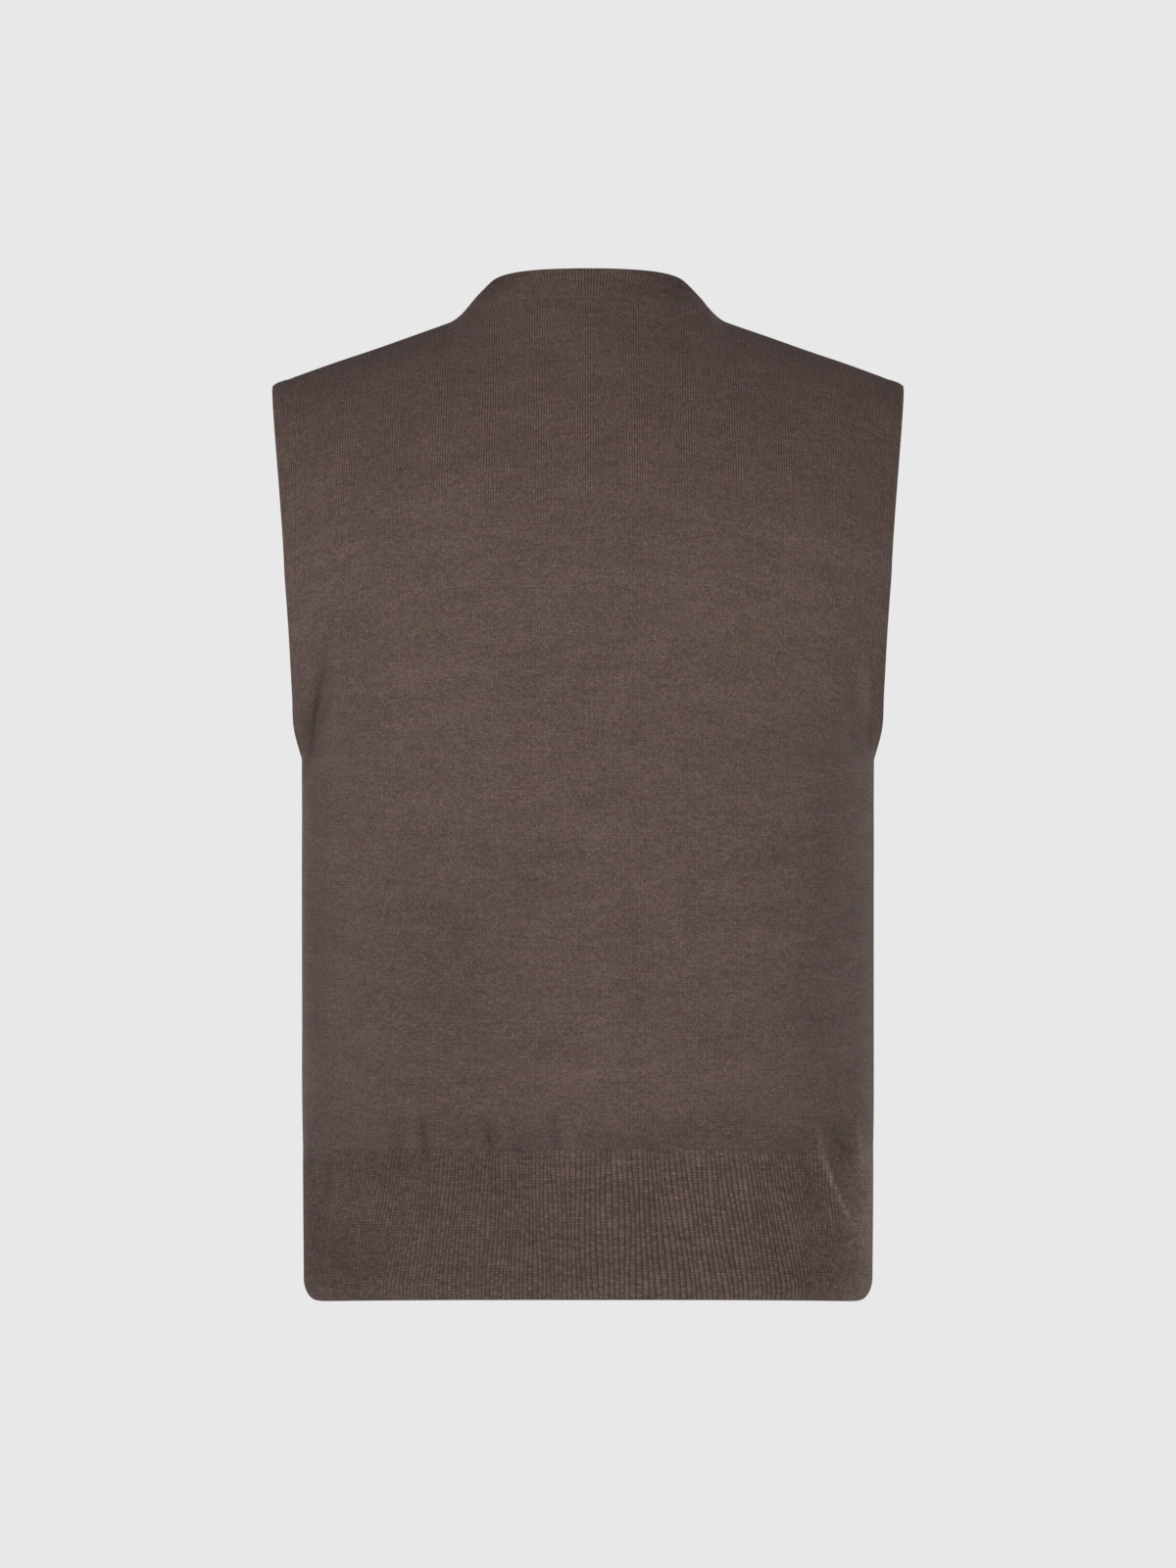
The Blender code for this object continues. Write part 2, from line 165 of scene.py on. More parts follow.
def neckRing(turn):
    # the neck seam: turn is 0 at mid-back and pi at mid-front
    turn = np.asarray(turn, float)
    toBack = np.cos(turn) > 0
    depth, top, power = (
        np.where(toBack, neck[name][backSide], neck[name][frontSide])
        for name in ("depth", "height", "curve")
    )
    height = blend(neck["sideHeight"], top, np.abs(np.cos(turn)) ** power)
    return np.stack([neck["half"] * np.sin(turn), -depth * np.cos(turn), height], axis=-1)


def topEdge(side, shares):
    # where a panel's columns end, at the neck or on the shoulder: x, y, height, turn over
    size = np.abs(shares)
    hand = np.where(shares < 0, -1.0, 1.0)
    turn = math.pi / 2 * np.minimum(size / neck["share"], 1.0)
    ring = neckRing(turn if side == backSide else math.pi - turn)
    out = np.clip((size - neck["share"]) / (1.0 - neck["share"]), 0.0, 1.0)
    seamX = blend(neck["half"], shoulder["half"], out)
    fillet = np.maximum(0.0, (neck["half"] + shoulder["fillet"] - seamX) / shoulder["fillet"])
    seamZ = vest["shoulderTip"] + shoulder["slope"] * (shoulder["half"] - seamX)
    seamZ = seamZ + shoulder["filletRise"] * fillet**2
    tip = np.maximum(0.0, (seamX - shoulder["half"] + shoulder["tipRound"]) / shoulder["tipRound"])
    seamZ = seamZ - shoulder["tipDrop"] * tip**2
    atNeck = size <= neck["share"]
    arc = blend(neck["arc"][side], 90.0, np.sin(turn) ** neck["arcPower"])
    x = np.where(atNeck, ring[:, 0], seamX)
    y = np.where(atNeck, np.abs(ring[:, 1]), 0.0)
    z = np.where(atNeck, ring[:, 2], seamZ)
    return np.stack([hand * x, side * y, z, np.radians(np.where(atNeck, arc, 90.0))])


def softTopEdge(side, shares):
    reach = np.minimum(shoulder["softness"], 1.0 - np.abs(shares))
    steps = np.linspace(-1.0, 1.0, shoulder["softSamples"])
    weights = 1.0 - steps**2 + 1.0 / shoulder["softSamples"]
    ends = [topEdge(side, shares + reach * step) for step in steps]
    return np.average(ends, axis=0, weights=weights)


def creaseForm(creases, across, height):
    # how far creases push the cloth out, and how much painted light and shade they lay on the colour
    total, tone = np.zeros_like(across), np.zeros_like(across)
    for crease in creases:
        places, (width, depth) = np.split(np.array(crease[:8]) / perMetre, [6])
        start, middle, end = places.reshape(3, 2)
        t = np.linspace(0.0, 1.0, creaseShape["steps"])[:, None]
        path = (1 - t) ** 2 * start + 2 * t * (1 - t) * middle + t**2 * end
        nearest = np.full(across.shape, np.inf)
        share = np.zeros_like(across)
        for k, (a, b) in enumerate(zip(path, path[1:])):
            run = b - a
            here = ((across - a[0]) * run[0] + (height - a[1]) * run[1]) / run.dot(run)
            here = np.clip(here, 0.0, 1.0)
            away = np.hypot(across - a[0] - here * run[0], height - a[1] - here * run[1])
            share = np.where(away < nearest, (k + here) / (len(path) - 1), share)
            nearest = np.minimum(nearest, away)
        ends = np.sin(math.pi * np.clip(share, 0.0, 1.0)) ** creaseShape["endPower"]
        form = np.exp(-((nearest / width) ** 2)) * ends
        total += depth * form
        tone += (crease[8] if len(crease) > 8 else creaseShape["tone"] * depth / width) * form
    return total, tone


def foldDepth(folds, across, height):
    total = np.zeros_like(across)
    for fold in folds:
        topX, topZ, footX, footZ, spread, depth = np.array(fold) / perMetre
        down = np.clip((topZ - height) / (topZ - footZ), 0.0, 1.0)
        middle = blend(topX, footX, down)
        ends = np.sin(math.pi * down) ** creaseShape["foldEndPower"]
        total += depth * np.exp(-(((across - middle) / spread) ** 2)) * ends
    return total


def placed(name, data):
    # an object at the origin
    made = bpy.data.objects.new(name, data)
    bpy.context.scene.collection.objects.link(made)
    return made


def fromShoulders(points):
    # heights counted from the shoulders, where the part has its origin
    return (points - np.array([0.0, 0.0, vest["shoulderHold"]])).tolist()


def clothMesh(name, rows, uvRows, flip, loop=False, ring=False):
    # quads over a grid of points; loop closes it along its rows, ring closes it round its columns
    rowCount, columnCount = rows.shape[:2]
    wrap = columnCount - 1 if ring else columnCount
    spans = np.arange(rowCount if loop else rowCount - 1), np.arange(columnCount - 1)
    low, left = (index.ravel() for index in np.meshgrid(*spans, indexing="ij"))
    high = (low + 1) % rowCount
    corners = [(low, left), (low, left + 1), (high, left + 1), (high, left)]
    if flip:
        corners.reverse()
    faces = np.stack([row * wrap + column % wrap for row, column in corners], axis=1)
    mesh = bpy.data.meshes.new(name)
    mesh.from_pydata(fromShoulders(rows[:, :wrap].reshape(-1, 3)), [], faces.tolist())
    for layer, values in uvRows.items():
        uv = np.stack([values[row, column] for row, column in corners], axis=1)
        mesh.uv_layers.new(name=layer).data.foreach_set("uv", uv.reshape(-1).astype(np.float32))
    mesh.shade_smooth()
    mesh.validate()
    return placed(name, mesh)


def betweenRows(table, row, column):
    # values of a table between its rows and columns
    i = np.clip(row.astype(int), 0, table.shape[0] - 2)
    j = np.clip(column.astype(int), 0, table.shape[1] - 2)
    u, v = (row - i)[..., None], (column - j)[..., None]
    return blend(blend(table[i, j], table[i, j + 1], v), blend(table[i + 1, j], table[i + 1, j + 1], v), u)


def gridNormals(grid, outward):
    up = np.gradient(grid, axis=0)
    across = np.gradient(grid, axis=1)
    normals = np.cross(across, up)
    normals /= np.linalg.norm(normals, axis=2, keepdims=True)
    return normals * np.where(np.sum(normals * outward, axis=2, keepdims=True) < 0, -1.0, 1.0)


def gridArea(grid):
    first = np.cross(grid[1:, 1:] - grid[:-1, :-1], grid[1:, :-1] - grid[:-1, 1:])
    return float(np.linalg.norm(first, axis=2).sum() / 2)


def rowLengths(grid, axis):
    steps = np.linalg.norm(np.diff(grid, axis=axis), axis=2)
    total = np.cumsum(steps, axis=axis)
    start = np.zeros_like(np.take(total, [0], axis=axis))
    return np.concatenate([start, total], axis=axis)


class Wire:
    # a node's output, and arithmetic on it that makes Math nodes
    def __init__(self, socket):
        self.socket = socket

    def math(self, operation, *others):
        return calc(operation, self, *others)

    def __add__(self, other):
        return calc("ADD", self, other)

    def __sub__(self, other):
        return calc("SUBTRACT", self, other)

    def __rsub__(self, other):
        return calc("SUBTRACT", other, self)

    def __mul__(self, other):
        return calc("MULTIPLY", self, other)

    def __truediv__(self, other):
        return calc("DIVIDE", self, other)

    def __pow__(self, other):
        return calc("POWER", self, other)

    def __abs__(self):
        return calc("ABSOLUTE", self)


def fill(node, values):
    # a node's inputs, by name or number, linked or given a value
    for name, value in values.items():
        named = (s for s in node.inputs if s.name == name and s.enabled)
        target = node.inputs[name] if isinstance(name, int) else next(named)
        if isinstance(value, Wire):
            node.id_data.links.new(value.socket, target)
        else:
            target.default_value = value


def put(tree, kind, values=None, **settings):
    # a node with its settings and inputs
    node = tree.nodes.new(kind)
    for setting, value in settings.items():
        setattr(node, setting, value)
    fill(node, values or {})
    return node


def add(tree, kind, values=None, output=None, **settings):
    # puts a node in, and gives the output that is named, or else its first
    outputs = put(tree, kind, values, **settings).outputs
    return Wire(outputs[output] if output else next(s for s in outputs if s.enabled))


def calc(operation, *values):
    tree = next(value for value in values if isinstance(value, Wire)).socket.id_data
    return add(tree, "ShaderNodeMath", dict(enumerate(values)), operation=operation)


def vector(tree, operation, *values):
    return add(tree, "ShaderNodeVectorMath", dict(enumerate(values)), operation=operation)


def scaled(tree, value, factor):
    return add(tree, "ShaderNodeVectorMath", {0: value, "Scale": factor}, operation="SCALE")


def axes(tree, value):
    parts = put(tree, "ShaderNodeSeparateXYZ", {"Vector": value}).outputs
    return [Wire(part) for part in parts]


def ranged(tree, value, start, end, low, high, **settings):
    # low where the value is start, high where it is end
    return add(tree, "ShaderNodeMapRange", {
        "Value": value, "From Min": start, "From Max": end, "To Min": low, "To Max": high}, **settings)


def noise(tree, place, scale, detail, output="Fac", **more):
    values = {"Vector": place, "Scale": scale, "Detail": detail, **more}
    return add(tree, "ShaderNodeTexNoise", values, output)


def objectPlace(tree):
    return add(tree, "ShaderNodeTexCoord", output="Object")


def dimmed(value, amount):
    # 1 where the value is 1, and less by the amount where it is 0
    return value * amount + (1.0 - amount)


def newTree(name, kind, inputs, outputs):
    # each input and output is given as its kind, or as a first value that tells the kind
    tree = bpy.data.node_groups.new(name, kind)
    kinds = {float: "Float", int: "Int", tuple: "Color"}
    for direction, sockets in (("INPUT", inputs), ("OUTPUT", outputs)):
        for label, value in sockets.items():
            socketKind = kinds.get(type(value), value)
            made = tree.interface.new_socket(label, in_out=direction, socket_type=f"NodeSocket{socketKind}")
            if type(value) in kinds:
                made.default_value = value
    given = {socket.name: Wire(socket) for socket in tree.nodes.new("NodeGroupInput").outputs}
    return tree, given, tree.nodes.new("NodeGroupOutput")


def makeYarnGroup():
    # heathered yarn: four dyed wools blended, each course its own stretch of yarn
    tree, given, result = newTree("melangeYarn", "ShaderNodeTree", {
        "Cloth": "Vector",
        "Course": 0.0,
        "Stitch": 0.5,
        "Blend Length": 0.0170,
        "Blend Height": 0.0018,
        "Streak Length": 0.014,
        "Streak Strength": 0.22,
        "Patch Length": 0.055,
        "Patch Height": 0.018,
        "Patch Strength": 0.16,
        "Stitch Strength": 0.50,
        "Fibre Length": 0.0009,
        "Fibre Height": 0.00042,
        "Fibre Strength": 0.50,
        "Moss": (0.0930, 0.078, 0.0694, 1),
        "Brick": (0.1239, 0.074, 0.0663, 1),
        "Ochre": (0.1085, 0.077, 0.0510, 1),
        "Plum": (0.1085, 0.076, 0.0847, 1),
    }, {"Color": "Color", "Fibre": "Float"})
    across, up, _ = axes(tree, given["Cloth"])

    def noiseAt(x, y, layer, detail):
        spot = add(tree, "ShaderNodeCombineXYZ", {"X": x, "Y": y, "Z": layer})
        return noise(tree, spot, 1.0, detail, Roughness=0.6)

    def noiseOver(name, layer, detail):
        return noiseAt(across / given[name + " Length"], up / given[name + " Height"], layer, detail)

    def spreadOut(value):
        return ranged(tree, value, 0.30, 0.70, 0.0, 1.0)

    def mixed(first, second, share):
        return add(tree, "ShaderNodeMix", {"Factor": share, "A": first, "B": second}, data_type="RGBA")

    def swing(value, strength):
        # from 1 - strength / 2 to 1 + strength / 2
        return (value - 0.5) * strength + 1.0

    warm = mixed(given["Moss"], given["Brick"], spreadOut(noiseOver("Blend", 1.7, 3.0)))
    cool = mixed(given["Ochre"], given["Plum"], spreadOut(noiseOver("Blend", 8.3, 3.0)))
    streak = noiseAt(across / given["Streak Length"], given["Course"] * 5.37, 3.1, 2.0)
    fibre = noiseOver("Fibre", 23.4, 2.0)
    light = swing(spreadOut(streak), given["Streak Strength"])
    light = light * swing(spreadOut(noiseOver("Patch", 15.9, 2.0)), given["Patch Strength"])
    light = light * swing(given["Stitch"], given["Stitch Strength"])
    light = light * swing(spreadOut(fibre), given["Fibre Strength"])
    fill(result, {"Color": scaled(tree, mixed(warm, cool, 0.5), light), "Fibre": fibre})
    return tree


def arched(phase, power):
    # a rounded rise over one turn of a phase from 0 to 1
    return (phase.math("FRACT") * math.pi).math("SINE") ** power


def fromMiddle(phase):
    # 0 in the middle of a turn and 1 at its ends
    return abs(phase.math("FRACT") - 0.5) * 2.0


def stockinetteFace(given, x, y):
    # the knit face: each stitch is a V of two slanted legs, with a deep groove between wales
    wales = x / given["Wale"]
    away = fromMiddle(wales)
    slanted = y / given["Course"] - away * given["Slant"]
    leg = 1.0 - away ** 3.0 - (1.0 - away) ** 6.0 * 0.35
    between = dimmed(arched(slanted, 0.7), given["Gap"])
    return wales, slanted, leg * between, dimmed(leg, given["Groove"]) * between


def purlFace(given, x, y):
    # the inside: rows of small arcs, up over one wale and down over the next
    wales = x / given["Wale"]
    turned = (wales * (2 * math.pi)).math("SINE")
    arcs = turned * (given["Slant"] * 0.3) + y / given["Course"]
    height = arched(arcs, 0.8)
    return wales, arcs, height, dimmed(height, given["Groove"])


def ribFace(given, x, y):
    # one by one rib: a wale of Vs on each crest and small purl arcs in the valleys
    # x counts ribs, and Wale is the crest's share of a rib
    away = (fromMiddle(x) / given["Wale"]).math("MINIMUM", 1.0)
    slanted = y / given["Course"] - away * given["Slant"]
    strand = arched(slanted, 0.7)
    leg = 1.0 - away ** 5.0 - (1.0 - away) ** 6.0 * 0.30
    height = leg * (strand * 0.6 + 0.4) + strand * away ** 8.0 * 0.40
    return x, slanted, height, dimmed(leg, given["Groove"]) * dimmed(strand, given["Gap"])


def makeFaceGroup(face):
    tree, given, result = newTree(face.__name__, "ShaderNodeTree", {
        "Stitches": "Vector", "Wale": 0.00170, "Course": 0.00137, "Slant": 0.85, "Groove": 0.45, "Gap": 0.30,
    }, {"Height": "Float", "Shade": "Float", "Course": "Float", "Stitch": "Float"})
    # a face gives the height for the bump and its Shade: painted shade that darkens the colour in the grooves
    # and gaps between stitches
    wales, courses, height, shade = face(given, *axes(tree, given["Stitches"])[:2])
    course = courses.math("FLOOR")
    cell = add(tree, "ShaderNodeCombineXYZ", {"X": wales.math("FLOOR"), "Y": course})
    number = add(tree, "ShaderNodeTexWhiteNoise", {"Vector": cell}, "Value", noise_dimensions="2D")
    fill(result, {"Height": height, "Shade": shade, "Course": course, "Stitch": number})
    return tree


yarnGroup = makeYarnGroup()
faceGroups = {
    "stockinette": makeFaceGroup(stockinetteFace),
    "purl": makeFaceGroup(purlFace),
    "rib": makeFaceGroup(ribFace),
}
print("shaders: yarn and knit faces ready")


def newMaterial(name):
    material = bpy.data.materials.new(name)
    material.use_nodes = True
    tree = material.node_tree
    return material, tree, tree.nodes["Principled BSDF"]


def bump(tree, height, look):
    return add(tree, "ShaderNodeBump", {
        "Height": height, "Strength": look["bumpStrength"], "Distance": look["bumpDistance"]})


def dyeYarn(yarn, look):
    wools = [yarn.inputs[name] for name in ("Moss", "Brick", "Ochre", "Plum")]
    mean = np.mean([wool.default_value[:3] for wool in wools], axis=0)
    for wool in wools:
        dyed = look["tone"] * (mean + look["melange"] * (np.array(wool.default_value[:3]) - mean))
        wool.default_value = (*dyed, 1.0)
    fill(yarn, {"Stitch Strength": look["stitchContrast"], "Fibre Strength": look["fibreContrast"]})


def knitMaterial(look):
    material, tree, shader = newMaterial(look["name"])
    cloth = add(tree, "ShaderNodeUVMap", uv_map="cloth")
    stitches = add(tree, "ShaderNodeUVMap", uv_map=look["stitchMap"])
    if "wobble" in look:
        # the rows of stitches aren't quite straight
        pull = noise(tree, cloth, look["wobbleScale"], 3.0, "Color")
        pull = vector(tree, "SUBTRACT", pull, [0.5] * 3)
        stitches = vector(tree, "MULTIPLY_ADD", pull, [look["wobble"]] * 3, stitches)
    sizes = {name.title(): look[name] for name in ("wale", "course", "slant", "groove", "gap")}
    face = put(tree, "ShaderNodeGroup", {"Stitches": stitches, **sizes}, node_tree=faceGroups[look["face"]])
    course, stitch = Wire(face.outputs["Course"]), Wire(face.outputs["Stitch"])
    yarn = put(tree, "ShaderNodeGroup", {"Cloth": cloth, "Course": course, "Stitch": stitch},
               node_tree=yarnGroup)
    dyeYarn(yarn, look)

    paintedLightAndShade = []
    across, up, _ = axes(tree, cloth)
    if "pulled" in look:
        # where the cloth is pulled its stitches change by degrees, and the same share scales a painted shade:
        # darker across one half of the rib, next to no change on the body
        where = across if look["pulledAlong"] == "X" else up
        share = ranged(tree, where, *look["pulledFrom"], 0.0, 1.0, interpolation_type="SMOOTHSTEP")
        for name, value in look["pulled"].items():
            fill(face, {name.title(): share * (value - look[name]) + look[name]})
        paintedLightAndShade.append(share * (look["pulledPaintedShade"] - 1.0) + 1.0)
    if "foot" in look:
        # painted shade along the foot of the body, where it is joined to the rib
        reach, tone = look["foot"]
        paintedLightAndShade.append(ranged(tree, up, 0.0, reach, tone, 1.0, interpolation_type="SMOOTHSTEP"))
    if "flatGroove" in look:
        # ribs that are stretched flat stand out less; there an even painted shade stands in for their weaker
        # groove shade
        clear = add(tree, "ShaderNodeAttribute", output="Fac", attribute_name="ribClear")
        fill(face, {"Groove": clear * (look["groove"] - look["flatGroove"]) + look["flatGroove"]})
        paintedLightAndShade.append(clear * (1.0 - look["flatPaintedShade"]) + look["flatPaintedShade"])
    if look["creased"]:
        # painted light on the creases' ridges and painted shade in their troughs, and some broad patches of
        # painted light and shade
        paintedLightAndShade.append(add(tree, "ShaderNodeAttribute", output="Fac", attribute_name="creasePaintedLightShade"))

    # painted shade between the stitches, from the face's Shade, takes on the wool's red
    low, middle = np.array(look["gapTint"]), look["gapMiddle"]
    shade = vector(tree, "MULTIPLY_ADD", Wire(face.outputs["Shade"]), 1.0 - low, middle * low)
    # the painted light and shade scale the colour
    for factor in paintedLightAndShade:
        shade = scaled(tree, shade, factor)
    hairs = noise(tree, objectPlace(tree), look["fuzzScale"], 2.0)
    fill(shader, {
        "Base Color": vector(tree, "MULTIPLY", Wire(yarn.outputs["Color"]), shade),
        "Normal": bump(tree, hairs * look["fuzz"] + Wire(face.outputs["Height"]), look),
        "Roughness": ranged(tree, Wire(yarn.outputs["Fibre"]), 0.3, 0.7, *look["rough"]),
        "Specular IOR Level": look["specular"],
        "Sheen Weight": look["sheen"],
        "Sheen Roughness": look["sheenRough"],
        "Sheen Tint": look["sheenTint"],
    })
    return material


yarnLook = {
    "gapTint": (0.30, 0.0, -0.080), "gapMiddle": 0.82,
    "stitchContrast": 0.34, "fibreContrast": 1.0, "melange": 1.1, "wobbleScale": 150.0,
    "bumpStrength": 0.9, "bumpDistance": 0.00035, "fuzz": 0.25, "fuzzScale": 2600.0,
    "rough": (0.98, 0.84), "specular": 0.25,
    "sheen": 0.10, "sheenRough": 0.6, "sheenTint": (0.80, 0.68, 0.66, 1.0),
}
bodyLook = {
    **yarnLook, "name": "bodyKnit", "face": "stockinette", "stitchMap": "cloth", "creased": True,
    "wale": 0.00170, "course": 0.00137, "slant": 0.40, "groove": 0.46, "gap": 0.57,
    "tone": 1.905, "wobble": 0.0011, "foot": (0.045, 0.82),
    "pulled": {"slant": 0.90, "groove": 1.0, "gap": 0.30},
    "pulledAlong": "Y", "pulledFrom": (0.375, 0.470), "pulledPaintedShade": 1.01,
}
purlLook = {
    **yarnLook, "name": "purlKnit", "face": "purl", "stitchMap": "cloth", "creased": False,
    "wale": 0.00170, "course": 0.00137, "slant": 0.85, "groove": 0.60, "gap": 0.60, "tone": 1.35,
}
ribLook = {
    **yarnLook, "name": "ribKnit", "face": "rib", "stitchMap": "ribs", "creased": True,
    "stitchContrast": 0.42, "fibreContrast": 1.10, "melange": 0.80, "gapMiddle": 0.85,
    "wale": 0.88, "course": 0.0019, "slant": 0.30, "groove": 0.57, "gap": 0.42,
    "tone": 1.53, "wobble": 0.0007, "bumpDistance": 0.00030, "flatGroove": 0.34, "flatPaintedShade": 0.91,
    "pulled": {"gap": 0.46}, "pulledAlong": "X", "pulledFrom": (0.10, -0.13), "pulledPaintedShade": 0.905,
}
bandLook = {
    **yarnLook, "name": "neckbandKnit", "face": "rib", "stitchMap": "ribs", "creased": False,
    "stitchContrast": 0.30, "fibreContrast": 0.75, "melange": 0.85, "gapMiddle": 0.86,
    "wale": 0.85, "course": 0.0018, "slant": 0.30, "groove": 0.66, "gap": 0.24,
    "tone": 1.64, "wobble": 0.0004, "bumpDistance": 0.00030,
}
bodyKnit, purlKnit, ribKnit, bandKnit = map(knitMaterial, (bodyLook, purlLook, ribLook, bandLook))

chainLook = {
    "name": "linkingYarn", "colour": (0.230, 0.178, 0.152, 1.0), "darkColour": (0.120, 0.086, 0.075, 1.0),
    "patchScale": 180.0, "plyScale": 2400.0, "bumpStrength": 0.5, "bumpDistance": 0.0002,
    "rough": 0.9, "specular": 0.25,
}


def chainMaterial(look):
    # yarn of the linking stitches, on Object coordinates
    material, tree, shader = newMaterial(look["name"])
    place = objectPlace(tree)
    patches = noise(tree, place, look["patchScale"], 3.0)
    colours = {"Factor": patches, "A": look["colour"], "B": look["darkColour"]}
    fill(shader, {
        "Base Color": add(tree, "ShaderNodeMix", colours, data_type="RGBA"),
        "Normal": bump(tree, noise(tree, place, look["plyScale"], 2.0), look),
        "Roughness": look["rough"],
        "Specular IOR Level": look["specular"],
    })
    return material


chainYarn = chainMaterial(chainLook)


def attributeOf(tree, name, kind="FLOAT"):
    return add(tree, "GeometryNodeInputNamedAttribute", {"Name": name}, data_type=kind)


def uneven(tree, middle, spread, seed, **more):
    # a random value for each point, about the middle
    return add(tree, "FunctionNodeRandomValue", {
        "Min": calc("SUBTRACT", middle, spread), "Max": calc("ADD", middle, spread), "Seed": seed, **more},
        data_type="FLOAT")


def finishTree(tree, geometry, given, result):
    done = add(tree, "GeometryNodeSetMaterial", {"Geometry": geometry, "Material": given["Material"]})
    fill(result, {"Geometry": done})
    return tree


def makeRibTree():
    tree, given, result = newTree("raisedRibs", "GeometryNodeTree", {
        "Geometry": "Geometry",
        "Relief": 0.0008,
        "Fullness": 0.8,
        "Unevenness": 0.2,
        "Seed": 1,
        "Material": "Material",
    }, {"Geometry": "Geometry"})
    place = attributeOf(tree, "ribPlace")
    wave = (place * (2 * math.pi)).math("COSINE") * -1.0
    profile = wave.math("SIGN") * abs(wave) ** given["Fullness"]
    factor = uneven(tree, 1.0, given["Unevenness"], given["Seed"], ID=place.math("FLOOR"))
    amount = given["Relief"] * 0.5 * profile * attributeOf(tree, "ribFade") * factor
    offset = scaled(tree, attributeOf(tree, "outward", "FLOAT_VECTOR"), amount)
    moved = add(tree, "GeometryNodeSetPosition", {"Geometry": given["Geometry"], "Offset": offset})
    real = add(tree, "GeometryNodeRealizeInstances", {"Geometry": moved})
    return finishTree(tree, real, given, result)


def makeChainTree():
    tree, given, result = newTree("linkedChain", "GeometryNodeTree", {
        "Geometry": "Geometry",
        "Pitch": 0.0019,
        "Length": 0.0021,
        "Width": 0.0009,
        "Thickness": 0.0008,
        "Tilt": 0.3,
        "Jitter": 0.08,
        "Seed": 1,
        "Material": "Material",
    }, {"Geometry": "Geometry"})
    path = add(tree, "GeometryNodeMeshToCurve", {"Mesh": given["Geometry"]})
    spaced = add(tree, "GeometryNodeResampleCurve", {"Curve": path, "Length": given["Pitch"]}, mode="LENGTH")
    bead = add(tree, "GeometryNodeMeshUVSphere", {"Segments": 8, "Rings": 6, "Radius": 0.5})
    size = add(tree, "ShaderNodeCombineXYZ", {
        "X": given["Length"], "Y": given["Width"], "Z": given["Thickness"]})
    along = add(tree, "FunctionNodeAxesToRotation", {
        "Primary Axis": add(tree, "GeometryNodeInputTangent"),
        "Secondary Axis": attributeOf(tree, "outward", "FLOAT_VECTOR")},
        primary_axis="X", secondary_axis="Z")
    angle = uneven(tree, given["Tilt"], given["Jitter"], given["Seed"])
    turn = add(tree, "FunctionNodeEulerToRotation", {
        "Euler": add(tree, "ShaderNodeCombineXYZ", {"Z": angle})})
    leaning = add(tree, "FunctionNodeRotateRotation", {"Rotation": along, "Rotate By": turn},
                  rotation_space="LOCAL")
    stitches = add(tree, "GeometryNodeInstanceOnPoints", {
        "Points": spaced, "Instance": bead, "Rotation": leaning, "Scale": size})
    real = add(tree, "GeometryNodeRealizeInstances", {"Geometry": stitches})
    smooth = add(tree, "GeometryNodeSetShadeSmooth", {"Geometry": real})
    return finishTree(tree, smooth, given, result)


def runTree(base, tree, values):
    # runs a tree on a piece and keeps the result as the piece's plain mesh
    modifier = base.modifiers.new(tree.name, "NODES")
    modifier.node_group = tree
    for item in tree.interface.items_tree:
        if item.item_type == "SOCKET" and item.in_out == "INPUT" and item.name in values:
            modifier[item.identifier] = values[item.name]
    graph = bpy.context.evaluated_depsgraph_get()
    shaped = base.evaluated_get(graph)
    made = bpy.data.meshes.new_from_object(shaped, preserve_all_data_layers=True, depsgraph=graph)
    base.modifiers.remove(modifier)
    plain = base.data
    base.data = made
    made.name = base.name
    bpy.data.meshes.remove(plain)
    for extra in ("ribPlace", "ribFade", "outward"):
        if extra in made.attributes:
            made.attributes.remove(made.attributes[extra])


def setAttribute(piece, name, values, kind="FLOAT"):
    attribute = piece.data.attributes.new(name, kind, "POINT")
    field = "vector" if kind == "FLOAT_VECTOR" else "value"
    attribute.data.foreach_set(field, np.ascontiguousarray(values, np.float32).reshape(-1))


raisedRibs = makeRibTree()
linkedChain = makeChainTree()
print("geometry nodes: ribs and linking stitches ready")


perMetre = 1000.0
creaseShape = {
    "steps": 25,  # points along a crease
    "endPower": 0.6,
    "foldEndPower": 0.7,
    "tone": 0.25,  # where a crease names no tone, its painted light or shade is this much of its steepness
    "seamPower": 12,  # nothing is pushed out at the seams
    "seamPaintedLightPower": 60,
}

# large soft folds in millimetres, each from a top to a foot: across, up, across, up, spread, depth
folds = {
    backSide: (
        (12, 345, 16, 95, 22, 1.8),
        (70, 310, 58, 120, 26, -1.2),
        (-190, 290, -172, 140, 22, -3.2),
        (-128, 260, -140, 110, 22, 1.8),
        (196, 345, 178, 110, 24, -3.4),
        (140, 240, 128, 105, 20, 1.6),
        (-178, 470, -205, 330, 20, -3),
        (180, 465, 206, 335, 20, -2.2),
    ),
    frontSide: (
        (-22, 330, -34, 100, 22, 2),
        (-90, 290, -78, 115, 22, -1.8),
        (68, 280, 86, 105, 22, 1.8),
        (186, 330, 170, 120, 24, -3.2),
        (-196, 320, -182, 110, 24, -3),
        (-172, 470, -200, 330, 20, -2.8),
        (170, 470, 198, 330, 20, -2.6),
    ),
}
